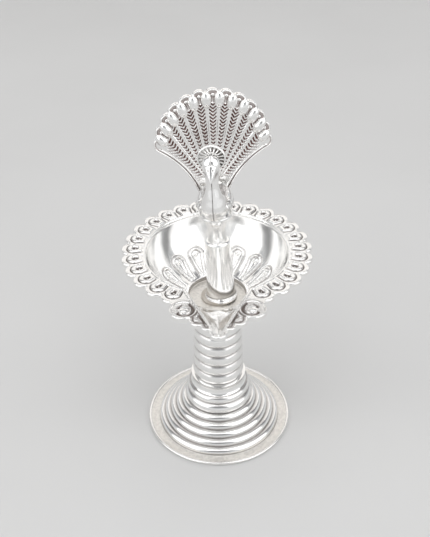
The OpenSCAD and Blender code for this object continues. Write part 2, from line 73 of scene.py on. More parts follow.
# Sizes repeated from the part's source
SHEET = 0.9
STEM_FOOT_R = 10.15
STEM_TOP_R = 9.0
STEM_BEADS = 7
CONE_BEADS = 5
FLANGE_W = 5.0
FLANGE_T = 1.0
LIP_R = 0.7
LIP_Z = 0.75
TAIL_R = 5.05
BOWL_R = 28.0
WELL_R = 11.7
WELL_DEPTH = 2.0
LOBES = 25
SPOUT_GAP = 60.0
SPOUT_REACH = 49.0
SPOUT_W = 21.0
SPOUT_TIP_W = 2.6
CREASE_DROP = 0.3
LOBE_R = 4.1
BORDER_T = 1.0
POST_R = 5.6
POST_H = 27.6
CALYX_R = 3.8
CALYX_H = 12.2
CALYX_RIM_R = 6.4
FINIAL_TURN = -4.0
FINIAL_LEAN = 2.75
FAN_TWIST = 8.5
FAN_R = 21.4
FAN_LIFT = 18.5
FAN_RIBS = 12
FAN_T = 1.0
FAN_FOOT = 17.4
FAN_FRONT = 9.6

WELL_Z = FLOOR_Z + WELL_DEPTH
CAP_H = RIM_Z - WELL_Z
CAP_Z = WELL_Z + (BOWL_R ** 2 - WELL_R ** 2 + CAP_H ** 2) / (2 * CAP_H)
CAP_R = math.hypot(WELL_R, CAP_Z - WELL_Z)
SPOUT_APEX = SPOUT_REACH + (SPOUT_REACH - BOWL_R) * SPOUT_TIP_W / (SPOUT_W - SPOUT_TIP_W)
SPOUT_FLARE = SPOUT_W / 2 / (SPOUT_APEX - BOWL_R)
SPOUT_SLOPE = (RIM_Z - WELL_Z + CREASE_DROP) / (SPOUT_APEX - WELL_R)
SPOUT_START = WELL_R + 1.2 * SHEET
SPOUT_POINT = SPOUT_APEX - 0.8
SPOUT_FOLD = 0.07
SIDE_T = 1.2 * SHEET
POST_SHIFT = 0.29 * POST_R
FAN_C = FAN_FOOT + FAN_LIFT
FAN_ROLL = 2.8


# Small tools

def between(a, b, t):
    """From a at t = 0 to b at t = 1."""
    return a + (b - a) * t


def smooth(t):
    """0 to 1 with level ends."""
    t = np.clip(t, 0.0, 1.0)
    return t * t * (3 - 2 * t)


def wire(distance, half, height):
    """Cross-section of a round raised line."""
    return height * np.clip(1 - (distance / half) ** 2, 0, 1) ** 0.6


def bell(distance, width):
    """1 in the middle, fading to 0 on both sides."""
    return np.exp(-(distance / width) ** 2)


def halved(a, b, past):
    """The two sides of the place from a to b where past() becomes true, found by halving."""
    for _ in range(50):
        m = (a + b) / 2
        over = past(m)
        a, b = np.where(over, a, m), np.where(over, m, b)
    return a, b


def quads(rows, columns, wrap_rows=False, wrap_columns=False):
    """Quads of a grid of points, row by row."""
    i = np.arange(rows if wrap_rows else rows - 1)
    j = np.arange(columns if wrap_columns else columns - 1)
    i, j = np.meshgrid(i, j, indexing="ij")
    i1, j1 = (i + 1) % rows, (j + 1) % columns
    corners = [i * columns + j, i * columns + j1, i1 * columns + j1, i1 * columns + j]
    return np.stack(corners, -1).reshape(-1, 4)


def put(name, body, nodes, points, faces, material, tarnish_and_shade=0.0, dull=0.0, sharp=38.0, weld=0.0):
    """Adds a mesh that rides on a body and stands for CAD nodes."""
    mesh = bpy.data.meshes.new(name)
    points = np.asarray(points, float).reshape(-1, 3)
    all_faces = [face for group in faces for face in np.asarray(group).tolist()]
    mesh.from_pydata((points * MM).tolist(), [], all_faces)
    # The tarnish attribute holds tarnish together with painted shade in creases, grooves and recesses.
    for key, values in (("tarnish_and_shade", tarnish_and_shade), ("dull", dull)):
        layer = mesh.attributes.new(key, "FLOAT", "POINT")
        layer.data.foreach_set("value", np.zeros(len(points)) + np.ravel(values))
    bm = bmesh.new()
    bm.from_mesh(mesh)
    if weld:
        bmesh.ops.remove_doubles(bm, verts=bm.verts, dist=weld * MM)
    bmesh.ops.recalc_face_normals(bm, faces=bm.faces)
    bm.to_mesh(mesh)
    bm.free()
    mesh.polygons.foreach_set("use_smooth", [True] * len(mesh.polygons))
    mesh.set_sharp_from_angle(angle=math.radians(sharp))
    mesh.materials.append(material)
    piece = bpy.data.objects.new(name, mesh)
    bpy.context.scene.collection.objects.link(piece)
    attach(piece, body)
    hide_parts(*nodes)


def turned(name, body, nodes, profile, material, tarnish_and_shade=0.0, dull=0.0, steps=320, place=None):
    """A piece of revolution with a closed profile of radius and height."""
    profile = np.asarray(profile, float)
    a = np.arange(steps) * 2 * math.pi / steps
    points = np.stack([np.outer(np.cos(a), profile[:, 0]), np.outer(np.sin(a), profile[:, 0]),
                       np.tile(profile[:, 1], (steps, 1))], -1).reshape(-1, 3)
    if place is not None:
        points = place(points)
    shades = [np.tile(np.zeros(len(profile)) + shade, steps) for shade in (tarnish_and_shade, dull)]
    put(name, body, nodes, points, [quads(steps, len(profile), True, True)], material, *shades)


# Width of the dark line of tarnish and painted shade in each groove, and width and strength of the wider
# painted dark band round it
GROOVE_LINE_W = 0.16
GROOVE_SHADE_W = 0.75
GROOVE_SHADE = 0.6


def beads(line, bulge, steps=14):
    """Points of round beads between groove points, and how dark each point is with tarnish and painted
    shade.
    """
    points, dark = [], []
    for a, b in zip(line[:-1], line[1:]):
        a, b = np.array(a), np.array(b)
        half = np.linalg.norm(b - a) / 2
        rise = 2 * half * bulge
        r = (half ** 2 + rise ** 2) / (2 * rise)
        along = (b - a) / (2 * half)
        out = np.array([-along[1], along[0]])
        span = math.asin(half / r)
        t = span * np.linspace(-1, 1, steps + 1)[:-1]
        middle = (a + b) / 2 - out * (r - rise)
        points += [middle + r * (math.cos(v) * out + math.sin(v) * along) for v in t]
        off = (1 - np.abs(t) / span) * half
        # haze is a painted dark reflection: a wide dark band round each groove
        haze = GROOVE_SHADE * bell(off, GROOVE_SHADE_W)
        dark += list(np.maximum(bell(off, GROOVE_LINE_W), haze))
    return points + [np.array(line[-1])], dark + [1.0]


def arc(centre, r, a0, a1, steps):
    """Points on an arc, angles in degrees, end included."""
    a = np.radians(np.linspace(a0, a1, steps + 1))
    return [np.array([centre[0] + r * math.cos(v), centre[1] + r * math.sin(v)]) for v in a]


def spline(stations, sub):
    """Smooth curve through stations, with sub points in each span."""
    p = np.asarray(stations, float)
    out = []
    for i in range(len(p) - 1):
        a, b, c, d = p[max(i - 1, 0)], p[i], p[i + 1], p[min(i + 2, len(p) - 1)]
        for k in range(sub):
            t = k / sub
            out.append(0.5 * (2 * b + (c - a) * t + (2 * a - 5 * b + 4 * c - d) * t ** 2
                              + (3 * b - a - 3 * c + d) * t ** 3))
    return np.array(out + [p[-1]])


def chain(circles, steps_per_mm=7.0):
    """Outline round overlapping circles (x, y, r), in counter-clockwise order, and its last corner.

    It runs from the corner of the first two circles to that of the last two."""
    cuts = []
    for (x0, y0, r0), (x1, y1, r1) in zip(circles[:-1], circles[1:]):
        gap = np.array([x1 - x0, y1 - y0])
        d = np.linalg.norm(gap)
        along = (d * d + r0 * r0 - r1 * r1) / (2 * d)
        side = math.sqrt(max(r0 * r0 - along * along, 0.0))
        unit = gap / d
        cuts.append(np.array([x0, y0]) + unit * along + np.array([unit[1], -unit[0]]) * side)
    points = []
    for i in range(1, len(circles) - 1):
        x, y, r = circles[i]
        a0 = math.atan2(cuts[i - 1][1] - y, cuts[i - 1][0] - x)
        a1 = math.atan2(cuts[i][1] - y, cuts[i][0] - x)
        while a1 <= a0:
            a1 += 2 * math.pi
        n = max(4, int(r * (a1 - a0) * steps_per_mm))
        points += arc((x, y), r, math.degrees(a0), math.degrees(a1), n)[:-1]
    return points, cuts[-1]


def loop_edges(loops):
    """Start and end of each edge of closed loops."""
    return np.concatenate([np.stack([loop, np.roll(loop, -1, 0)], 1) for loop in loops])


def crossings(edges, y):
    """Where a level line crosses edges."""
    e = edges[(edges[:, 0, 1] <= y) != (edges[:, 1, 1] <= y)]
    return e[:, 0, 0] + (y - e[:, 0, 1]) / (e[:, 1, 1] - e[:, 0, 1]) * (e[:, 1, 0] - e[:, 0, 0])


def spans_inside(loops, spacing, margin):
    """Grid points inside closed loops, by the even-odd rule, kept a margin away from crossings."""
    edges = loop_edges(loops)
    lo, hi = edges[:, 0].min(0), edges[:, 0].max(0)
    found = []
    for row, y in enumerate(np.arange(lo[1] + spacing / 2, hi[1], spacing * math.sqrt(3) / 2)):
        x = np.sort(crossings(edges, y))
        shift = spacing * (0.5 if row % 2 else 0.0)
        for a, b in zip(x[0::2], x[1::2]):
            first = math.ceil((a + margin - lo[0] - shift) / spacing)
            last = math.floor((b - margin - lo[0] - shift) / spacing)
            xs = lo[0] + shift + spacing * np.arange(first, last + 1)
            found.append(np.stack([xs, np.full(len(xs), y)], -1))
    return np.concatenate(found)


def inside_loops(points, loops):
    """Which points lie inside closed loops, by the even-odd rule."""
    edges = loop_edges(loops)
    return np.array([np.count_nonzero(crossings(edges, y) > x) % 2 == 1 for x, y in points], bool)


def fill(loops, inner):
    """Triangles that fill closed loops, through the inner points."""
    points = np.concatenate(list(loops) + [inner])
    edges, start = [], 0
    for loop in loops:
        n = len(loop)
        edges += [(start + k, start + (k + 1) % n) for k in range(n)]
        start += n
    corners, _, faces, origin, *_ = delaunay_2d_cdt([Vector(p) for p in points], edges, [], 0, 1e-7)
    corners, faces = np.array([tuple(c) for c in corners]), np.array(faces)
    on_loop = np.array([min(o, default=0) < start for o in origin])
    doubtful = np.nonzero(on_loop[faces].all(1))[0]
    keep = np.ones(len(faces), bool)
    keep[doubtful] = inside_loops(corners[faces[doubtful]].mean(1), loops)
    return corners, faces[keep]


def nearest(points):
    """Lookup that gives the place, number and distance of the nearest of some flat points."""
    tree = KDTree(len(points))
    for k, p in enumerate(points):
        tree.insert((p[0], p[1], 0), k)
    tree.balance()
    return lambda p: tree.find((p[0], p[1], 0))


HOLLOW_EDGE = 0.8


def relief(name, body, nodes, loops, spacing, height, thickness, place, material,
           round_edge=0.35, hollow=0.0):
    """A plate with a raised face: height(x, y, edge distance) gives the relief and the tarnish with
    painted shade.

    hollow is the share of the relief that shows as hollows on the back."""
    loops = [np.array(loop) for loop in loops]
    front, faces = fill(loops, spans_inside(loops, spacing, spacing * 0.45))
    back_grid = spans_inside(loops, 2 * spacing, spacing) if hollow else np.zeros((0, 2))
    back, back_faces = fill(loops, back_grid)
    on_outline = nearest(np.concatenate(loops))
    edge = np.array([on_outline(p)[2] for p in front])
    rise, dark = height(front[:, 0], front[:, 1], edge)
    top = np.column_stack([front, rise - round_edge * np.clip(1 - edge / round_edge, 0, 1) ** 2])
    edge = np.array([on_outline(p)[2] for p in back])
    rise, _ = height(back[:, 0], back[:, 1], edge)
    under = np.column_stack([back, hollow * rise * smooth(edge / HOLLOW_EDGE) - thickness])
    points, shade = [top, under], [dark, np.zeros(len(under))]
    groups = [faces, back_faces + len(top)]
    start = len(top) + len(under)
    on_front = nearest(front)
    for loop in loops:
        n = len(loop)
        upper = top[[on_front(p)[1] for p in loop]]
        lower = np.column_stack([loop, np.full(n, -thickness)])
        points += [upper, lower]
        shade += [np.zeros(n), np.zeros(n)]
        k = np.arange(n)
        k1 = (k + 1) % n
        groups.append(np.stack([start + k, start + k1, start + n + k1, start + n + k], -1))
        start += 2 * n
    placed = place(np.concatenate(points))
    put(name, body, nodes, placed, groups, material, np.concatenate(shade), weld=2e-4)


# Materials

def node(tree, kind, inputs=None, **settings):
    """A new node; each input is a value or a socket to link."""
    made = tree.nodes.new(kind)
    for key, value in settings.items():
        setattr(made, key, value)
    for key, value in (inputs or {}).items():
        if isinstance(value, bpy.types.NodeSocket):
            tree.links.new(value, made.inputs[key])
        else:
            made.inputs[key].default_value = value
    return made


def ramp(tree, factor, stops):
    """Colours along stops of place and colour."""
    made = node(tree, "ShaderNodeValToRGB", {"Fac": factor})
    elements = made.color_ramp.elements
    while len(elements) < len(stops):
        elements.new(0.5)
    for element, (at, colour) in zip(elements, stops):
        element.position = at
        element.color = (*colour, 1.0)
    return made.outputs["Color"]


def noise(tree, where, scale, detail, **more):
    """Cloudy pattern with values from 0 to 1."""
    inputs = {"Vector": where, "Scale": scale, "Detail": detail, **more}
    return node(tree, "ShaderNodeTexNoise", inputs).outputs["Fac"]


def mix(tree, factor, first, second):
    """Mix of two colours; 6, 7 and 2 are the colour sockets of the mix node."""
    inputs = {"Factor": factor, 6: first, 7: second}
    return node(tree, "ShaderNodeMix", inputs, data_type="RGBA").outputs[2]


def plus_share(tree, base, factor, share):
    """base + factor * share."""
    inputs = {0: factor, 1: share, 2: base}
    return node(tree, "ShaderNodeMath", inputs, operation="MULTIPLY_ADD").outputs["Value"]


def bumped(tree, shader, height, strength, depth):
    """Gives a shader a surface that rises by depth metres."""
    bump = node(tree, "ShaderNodeBump", {"Strength": strength, "Distance": depth, "Height": height})
    tree.links.new(bump.outputs["Normal"], shader.inputs["Normal"])


def new_material(name):
    """A material with its node tree, its shader and the place on the object."""
    made = bpy.data.materials.new(name)
    made.use_nodes = True
    tree = made.node_tree
    return made, tree, tree.nodes["Principled BSDF"], node(tree, "ShaderNodeTexCoord").outputs["Object"]


def metal(name, bright, dull, haze, tarnish_and_shade_colour, polish, wave):
    """Polished metal: cloudy colour and gloss, a faint wave in the surface, tarnish and painted shade in
    the creases.
    """
    made, tree, shader, where = new_material(name)
    cloud = noise(tree, where, 90.0, 5.0, Roughness=0.55)
    fine = noise(tree, where, 900.0, 3.0)
    swell = noise(tree, where, 130.0, 1.5)
    # Tarnish and painted shade: the tarnish attribute mixes in the dark stain colour.
    dark = node(tree, "ShaderNodeAttribute", attribute_name="tarnish_and_shade").outputs["Fac"]
    matt = node(tree, "ShaderNodeAttribute", attribute_name="dull").outputs["Fac"]
    clean = ramp(tree, cloud, [(0.3, dull), (0.7, bright)])
    speck = ramp(tree, fine, [(0.38, tuple(0.82 * c for c in haze)), (0.62, haze)])
    worn = mix(tree, matt, clean, speck)
    tree.links.new(mix(tree, dark, worn, (*tarnish_and_shade_colour, 1.0)), shader.inputs["Base Color"])
    limits = {"From Min": 0.3, "From Max": 0.7, "To Min": polish, "To Max": polish + 0.05}
    gloss = node(tree, "ShaderNodeMapRange", {"Value": fine, **limits}).outputs["Result"]
    hazy = plus_share(tree, gloss, matt, 0.32)
    tree.links.new(plus_share(tree, hazy, dark, 0.25), shader.inputs["Roughness"])
    bumped(tree, shader, swell, wave, 0.0004)
    shader.inputs["Metallic"].default_value = 1.0
    return made


def hide(name, light, deep):
    """Leather of a cut washer."""
    made, tree, shader, where = new_material(name)
    cloud = noise(tree, where, 250.0, 4.0)
    tree.links.new(ramp(tree, cloud, [(0.3, deep), (0.7, light)]), shader.inputs["Base Color"])
    grain = node(tree, "ShaderNodeTexVoronoi", {"Vector": where, "Scale": 1400.0})
    bumped(tree, shader, grain.outputs["Distance"], 0.4, 0.0001)
    shader.inputs["Roughness"].default_value = 0.7
    return made


# Bright, dull and hazy colour
SILVER = ((0.96, 0.955, 0.945), (0.91, 0.905, 0.895), (0.90, 0.87, 0.82))
BRASS = ((0.86, 0.70, 0.40), (0.74, 0.58, 0.31), (0.60, 0.48, 0.27))
# Colours of the tarnish and of the painted shade in creases
BROWN = (0.16, 0.13, 0.115)
RED_BROWN = (0.13, 0.038, 0.022)
silver = metal("silver", *SILVER, BROWN, 0.13, 0.22)
fan_silver = metal("fan_silver", *SILVER, RED_BROWN, 0.13, 0.22)
brass = metal("brass", *BRASS, (0.28, 0.18, 0.08), 0.24, 0.15)
leather = hide("leather", (0.70, 0.66, 0.60), (0.55, 0.50, 0.44))
INNER = {"base_washer": brass, "base_nut": brass, "bowl_washer": leather, "post_washer": leather,
         "stem_bush": silver, "bowl_boss": silver, "finial_stud": silver, "tail_saddle": silver}
for name, material in INNER.items():
    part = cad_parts[name].data
    part.materials.clear()
    part.materials.append(material)


# Foot, collar and stem

NECK_R = STEM_FOOT_R + 2
CONE_R = FOOT_R - FLANGE_W
CONE_TOP = np.array([NECK_R + 1.8, FOOT_H * 0.61])
CONE_FOOT = np.array([CONE_R, FLANGE_T])
NECK_MID = np.array([NECK_R + 0.8, FOOT_H * 0.83])
FOOT_WALL = 1.5 * SHEET
PLATE_Z = FOOT_H - 1.2 * SHEET
CONE_BULGE = 0.26
DISH_DEPTH = 0.35
SEAM_GAP = 0.05
COVE_R = 4
COVE_DEPTH = 1.2
COVE_EDGE = 4
SPIGOT_R = 8.15
SPIGOT_H = 7
SPIGOT_BORE = 0.5
TAIL_Z = 14.4
STEM_BULGE = 0.17
STEM_WALL = 0.8


def make_foot():
    """Foot with a beaded cone, a dished flange and a rolled edge, hollow below."""
    grooves = [(NECK_R, FOOT_H), NECK_MID, *np.linspace(CONE_TOP, CONE_FOOT, CONE_BEADS + 1)]
    outside, dark = beads(grooves, CONE_BULGE)
    lip = (FOOT_R - LIP_R, LIP_Z)
    dish = [(between(CONE_R, lip[0] - LIP_R, t), FLANGE_T - DISH_DEPTH * math.sin(math.pi * t))
            for t in np.linspace(0.06, 0.97, 14)]
    edge = arc(lip, LIP_R, 160, -90, 16)
    run = (CONE_FOOT[0] - CONE_TOP[0]) / (CONE_TOP[1] - CONE_FOOT[1])
    inside = [(lip[0], 0), (CONE_R - FOOT_WALL + run * FLANGE_T, 0),
              (CONE_TOP[0] - FOOT_WALL, CONE_TOP[1]), (NECK_MID[0] - FOOT_WALL, NECK_MID[1]),
              (NECK_R - FOOT_WALL, PLATE_Z), (TAIL_R, PLATE_Z), (TAIL_R, FOOT_H)]
    profile = outside + dish + edge + inside
    matt = [0.0] * len(outside) + [0.8] * len(dish)
    matt += [0.2] * (len(profile) - len(matt))
    dark = dark + [0.0] * (len(profile) - len(dark))
    # The grooves carry tarnish with painted shade and a painted dark band
    turned("foot", "stand", ["foot_shell"], profile, silver, np.array(dark) * 0.8, matt)


def make_collar():
    """Collar with a hollow side, a spigot in the stem and a tail through the foot."""
    middle = (NECK_R + COVE_R - COVE_DEPTH, (FOOT_H + STEM_Z) / 2)
    half_turn = math.degrees(math.asin((STEM_Z - FOOT_H) / 2 / COVE_R)) - COVE_EDGE
    tail = TAIL_R - SEAM_GAP
    profile = [(tail, FOOT_H), (NECK_R - 0.1, FOOT_H)]
    profile += arc(middle, COVE_R, 180 + half_turn, 180 - half_turn, 18)
    profile += [(STEM_FOOT_R + 0.5, STEM_Z), (SPIGOT_R, STEM_Z), (SPIGOT_R, STEM_Z + SPIGOT_H)]
    profile += [(SPIGOT_BORE, STEM_Z + SPIGOT_H), (SPIGOT_BORE, TAIL_Z), (tail, TAIL_Z)]
    turned("collar", "stand", ["neck_collar"], profile, silver)


def make_stem():
    """Tapered tube with beads."""
    grooves = np.linspace((STEM_TOP_R, BUSH_Z), (STEM_FOOT_R, STEM_Z), STEM_BEADS + 1)
    outside, dark = beads(grooves, STEM_BULGE)
    bore = STEM_TOP_R - STEM_WALL
    profile = outside + [(bore, STEM_Z), (bore, BUSH_Z)]
    # The grooves carry tarnish with painted shade and a painted dark band
    turned("stem", "stand", ["stem_tube"], profile, silver, np.array(dark + [0.0, 0.0]) * 0.7)


# Bowl, spout and border

PETALS = 14
PETAL_PITCH = 360 / PETALS
PETAL_TIP_S = 13.4
PETAL_FOOT_S = 2.0
PETAL_W = 2.95
PETAL_FOOT_W = 1.25
BOWL_TURN = 540
INNER_ROWS = 125
OUTER_ROWS = 24
BOWL_BORE = 2.8
WELL_FILLET = 0.5
RIM_FLANGE_W = 3.2
CHANNEL_ROUND = 2.4
CHANNEL_ROUND_SHARE = 0.85
CHANNEL_FOLDED_RUN = 8
CHANNEL_CHANGE_RUN = 20


def petal_relief(back_angle, r):
    """Height, and tarnish with painted shade, of the petals pressed in the bowl's wall; angle in degrees
    from the back.
    """
    number = np.round(back_angle / PETAL_PITCH)
    v = r * np.sin(np.radians(back_angle - number * PETAL_PITCH))
    s = CAP_R * (np.arcsin(np.clip(r / CAP_R, 0, 1)) - math.asin(WELL_R / CAP_R))
    crown = PETAL_TIP_S - PETAL_W
    half = between(PETAL_FOOT_W, PETAL_W, np.clip((s - PETAL_FOOT_S) / (crown - PETAL_FOOT_S), 0, 1))
    d = np.where(s > crown, np.hypot(s - crown, v) - PETAL_W, np.abs(v) - half)
    fade = smooth((s - 0.6) / 2.0) * (np.abs(number) < PETALS / 2 - 0.5)
    ball = np.hypot((s - crown - 0.2) / 1.15, v)
    h = wire(d + 0.35, 0.6, 0.6) + wire(d + 1.55, 0.45, 0.35)
    h += wire(ball, 0.85, 0.6) - wire(d - 0.5, 0.4, 0.16)
    # Tarnish with painted shade at the foot of each raised line and in the hollow between the two lines
    dark = bell(d - 0.35, 0.22) * 0.55 + bell(d + 1.0, 0.2) * 0.35
    return h * fade, dark * fade


def channel_rise(across, run):
    """Share of the depth by which the channel's section rises, from the crease (0) to its edges (1).

    The section is round at the bowl and folded at the point, run mm further out."""
    folded = np.sqrt(across ** 2 + SPOUT_FOLD ** 2) - SPOUT_FOLD
    folded /= math.sqrt(1 + SPOUT_FOLD ** 2) - SPOUT_FOLD
    share = CHANNEL_ROUND_SHARE * smooth((run - CHANNEL_FOLDED_RUN) / CHANNEL_CHANGE_RUN)
    return between(folded, np.abs(across) ** CHANNEL_ROUND, share)


def channel_z(r, angle):
    """Height of the channel at radius r, angle in radians from the spout."""
    run = SPOUT_APEX - r * np.cos(angle)
    across = r * np.abs(np.sin(angle)) / (SPOUT_FLARE * run)
    return RIM_Z - SPOUT_SLOPE * run * (1 - channel_rise(across, run))


def bowl_end(angle, ball, limit):
    """Radius at which the bowl's wall ends, at the channel or at the rim, and where it is cut."""
    def over(r):
        return CAP_Z - np.sqrt(ball ** 2 - r ** 2) > channel_z(r, angle)

    rim = np.full_like(angle, limit)
    cut = (np.abs(angle) < math.pi / 2) & over(rim)
    _, end = halved(np.full_like(angle, WELL_R), rim, over)
    return np.where(cut, np.maximum(end, SPOUT_START), limit), cut


def level(r, z):
    """A row of the bowl at one radius and one height."""
    return np.full(BOWL_TURN, r), np.full(BOWL_TURN, z)


def well_rows():
    """Rows of the well's floor and wall, and their painted shade."""
    corner = WELL_R - WELL_FILLET
    line = [(BOWL_BORE, FLOOR_Z), (6.0, FLOOR_Z), (9.5, FLOOR_Z), (corner, FLOOR_Z)]
    line += arc((corner, FLOOR_Z + WELL_FILLET), WELL_FILLET, -75, 0, 5)
    line += [(WELL_R, WELL_Z - 0.5), (WELL_R + 0.06, WELL_Z - 0.2)]
    # Painted shade: darker up the well's wall
    dark = [np.full(BOWL_TURN, 0.55 * smooth((z - FLOOR_Z) / 0.6)) for _, z in line]
    return [level(r, z) for r, z in line], dark


def wall_rows(angle, end):
    """Rows of the bowl's inner wall with its petals, out to the end, and their tarnish with painted
    shade.
    """
    back = np.degrees(np.angle(np.exp(1j * (angle - math.pi))))
    rows, dark = [], []
    for t in np.linspace(0.012, 1, INNER_ROWS):
        r = WELL_R + (end - WELL_R) * t
        h, d = petal_relief(back, r)
        scale = (CAP_R - h) / CAP_R
        rows.append((r * scale, CAP_Z - np.sqrt(CAP_R ** 2 - r ** 2) * scale))
        dark.append(d)
    return rows, dark


def outer_rows(angle, end, cut, limit, top):
    """Rows of the flange under the border and of the bowl's outside."""
    outer = CAP_R + SHEET
    outer_limit = math.sqrt(outer ** 2 - (CAP_Z - top + SHEET) ** 2)
    outer_end, _ = bowl_end(angle, outer, outer_limit)
    outer_end = np.maximum(outer_end, end + 0.05) * cut + outer_end * ~cut
    inner_z = CAP_Z - np.sqrt(CAP_R ** 2 - end ** 2)
    outer_z = CAP_Z - np.sqrt(outer ** 2 - outer_end ** 2)
    brim = BOWL_R + RIM_FLANGE_W
    rows = []
    for k, (r, z) in enumerate([(limit + 0.05, top), (brim, top), (brim, top - SHEET)]):
        t = (k + 1) / 4
        cut_r, cut_z = between(end, outer_end, t), between(inner_z, outer_z, t)
        rows.append((np.where(cut, cut_r, r), np.where(cut, cut_z, z)))
    well = WELL_R + SHEET
    for t in np.linspace(1, 0, OUTER_ROWS):
        r = between(well, outer_end, t)
        rows.append((r, CAP_Z - np.sqrt(outer ** 2 - r ** 2)))
    under = FLOOR_Z - SHEET
    return rows + [level(well, under + 0.4), level(well - 0.4, under), level(BOWL_BORE, under)]


def make_bowl():
    """Bowl with its well, its petals and the gap for the channel."""
    angle = np.linspace(-math.pi, math.pi, BOWL_TURN, endpoint=False)
    top = RIM_Z - BORDER_T
    limit = math.sqrt(CAP_R ** 2 - (CAP_Z - top) ** 2)
    end, cut = bowl_end(angle, CAP_R, limit)
    well, well_dark = well_rows()
    wall, wall_dark = wall_rows(angle, end)
    outside = outer_rows(angle, end, cut, limit, top)
    rows = well + wall + outside
    dark = well_dark + wall_dark + [np.zeros(BOWL_TURN)] * len(outside)
    points = np.stack([np.stack([r * np.sin(angle), -r * np.cos(angle), z], -1) for r, z in rows])
    matt = np.zeros(points.shape[:2])
    matt[:len(well) - 2] = 0.9
    faces = quads(len(rows), BOWL_TURN, True, True)
    put("bowl", "bowl", ["bowl_shell"], points, [faces], silver, np.stack(dark), matt, sharp=50)


def make_spout():
    """Channel for the wick, from the bowl to its point."""
    across, along = 41, 60
    f = np.linspace(-1, 1, across)

    def at(y, grow):
        """A row across the channel, y from the lamp's axis; grow lowers the face."""
        run = SPOUT_APEX - y + grow
        z = RIM_Z - SPOUT_SLOPE * run * (1 - channel_rise(f, run))
        return np.stack([f * SPOUT_FLARE * run, -y + 0 * f, z], -1)

    def face(grow, ball):
        """One face of the channel, from the wall of the bowl or of its well to the point."""
        def outside(y):
            p = at(y, grow)
            in_well = np.hypot(p[:, 0], p[:, 1]) < WELL_R + 0.5 * SHEET
            return ~in_well & (np.linalg.norm(p - [0, 0, CAP_Z], axis=-1) >= ball)

        start, _ = halved(np.full(across, 0.3 * WELL_R), np.full(across, BOWL_R + 2), outside)
        return np.array([at(between(start, SPOUT_POINT, t), grow) for t in np.linspace(0, 1, along)])

    upper = face(0.0, CAP_R + SHEET)
    lower = face(SIDE_T / SPOUT_FLARE, CAP_R + 0.5 * SHEET)
    n = along * across
    grid = quads(along, across)
    left = [[k, k + across, n + k + across, n + k] for k in range(0, n - across, across)]
    right = [[q + across - 1 for q in quad] for quad in left]
    first = [[j, j + 1, n + j + 1, n + j] for j in range(across - 1)]
    last = [[(along - 1) * across + q for q in quad] for quad in first]
    put("spout", "bowl", ["spout_lip"], np.concatenate([upper.reshape(-1, 3), lower.reshape(-1, 3)]),
        [grid, grid + n, left, right, first, last], silver)


LOBE_PITCH = (360 - SPOUT_GAP) / (LOBES - 1)
LOBE_C = BORDER_R - LOBE_R
LOOP_R = 2.95
LOOP_FOOT_W = 2.2
LOOP_C = LOBE_C - 1.2
LOOP_LEN = LOOP_C - BOWL_R - 1.3
SCROLL = np.array([12.33, -37.95])
SCROLL_R = 5.2
TIP = np.array([0.0, -(SPOUT_REACH + 1.2)])
LEAF = between(SCROLL, TIP, 0.44)
LEAF_R = 3.4
TIP_R = 3.2
PAD_MID = 1.15
PAD_W = 1.12
RIDGE_W = 1.6


def loop_relief(x, y, r):
    """Relief, and tarnish with painted shade, of the loops round the border, and the distance from their
    outlines.
    """
    a = np.degrees(np.arctan2(x, -y)) % 360
    i = np.clip(np.round((a - SPOUT_GAP / 2) / LOBE_PITCH), 0, LOBES - 1)
    delta = np.radians(a - SPOUT_GAP / 2 - i * LOBE_PITCH)
    u, v = r * np.cos(delta) - LOOP_C, r * np.sin(delta)
    taper = between(LOOP_R, LOOP_FOOT_W, np.clip(-u / LOOP_LEN, 0, 1))
    d = np.where(u > 0, np.hypot(u, v), np.abs(v)) - np.where(u > 0, LOOP_R, taper)
    open_end = smooth((u + 1.9) / 0.5)
    across = between(np.maximum(d, -PAD_MID), d, open_end)
    pad = np.sqrt(np.clip(1 - ((across + PAD_MID) / PAD_W) ** 2, 0, 1))
    pad *= smooth((u + LOOP_LEN + 0.3) / 0.7)
    pip = wire(np.hypot(u + 0.4, v), 0.3, 0.5)
    ring = wire(r - BOWL_R - 0.6, 0.6, 0.55)
    strip = 0.42 * smooth((d - 0.1) / 0.35)
    # Painted shade in the hollow inside each loop; tarnish with painted shade along its outline
    eye = smooth((-1.9 - d) / 0.3) * open_end * (pip < 0.1)
    dark = np.maximum(bell(d - 0.02, 0.24) * (u > -LOOP_LEN), eye)
    return np.maximum.reduce([np.where(d < 0, pad, strip), pip, ring]), dark, d


def scroll_relief(sx, sy):
    """Relief and grooves of the scroll beside the spout, from its middle."""
    rho, phi = np.hypot(sx, sy), np.degrees(np.arctan2(sy, sx))
    curl = ((phi - 120) % 360) / 205
    hook = ((phi - 15) % 360) / 65
    groove = np.where(curl < 1, wire(rho - between(3.9, 2.6, curl), 0.8, 1.0), 0)
    groove = np.maximum(groove, np.where(hook < 1, wire(rho - between(2.0, 2.8, hook), 0.6, 1.0), 0))
    return 0.75 - 0.8 * groove + wire(rho, 1.5, 0.45) + wire(rho - 4.7, 0.5, 0.2), groove


def leaf_relief(lx, ly):
    """Relief and grooves of the petal between the scroll and the tip, from its middle."""
    vein = wire(lx * 0.57 - ly * 0.82 + 0.9, 0.5, 1.0) * smooth((2.0 - np.hypot(lx, ly)) / 0.5)
    groove = np.maximum(vein, wire(np.hypot(lx - 0.9, ly + 1.3), 0.75, 1.0))
    return 0.65 - 0.6 * groove, groove


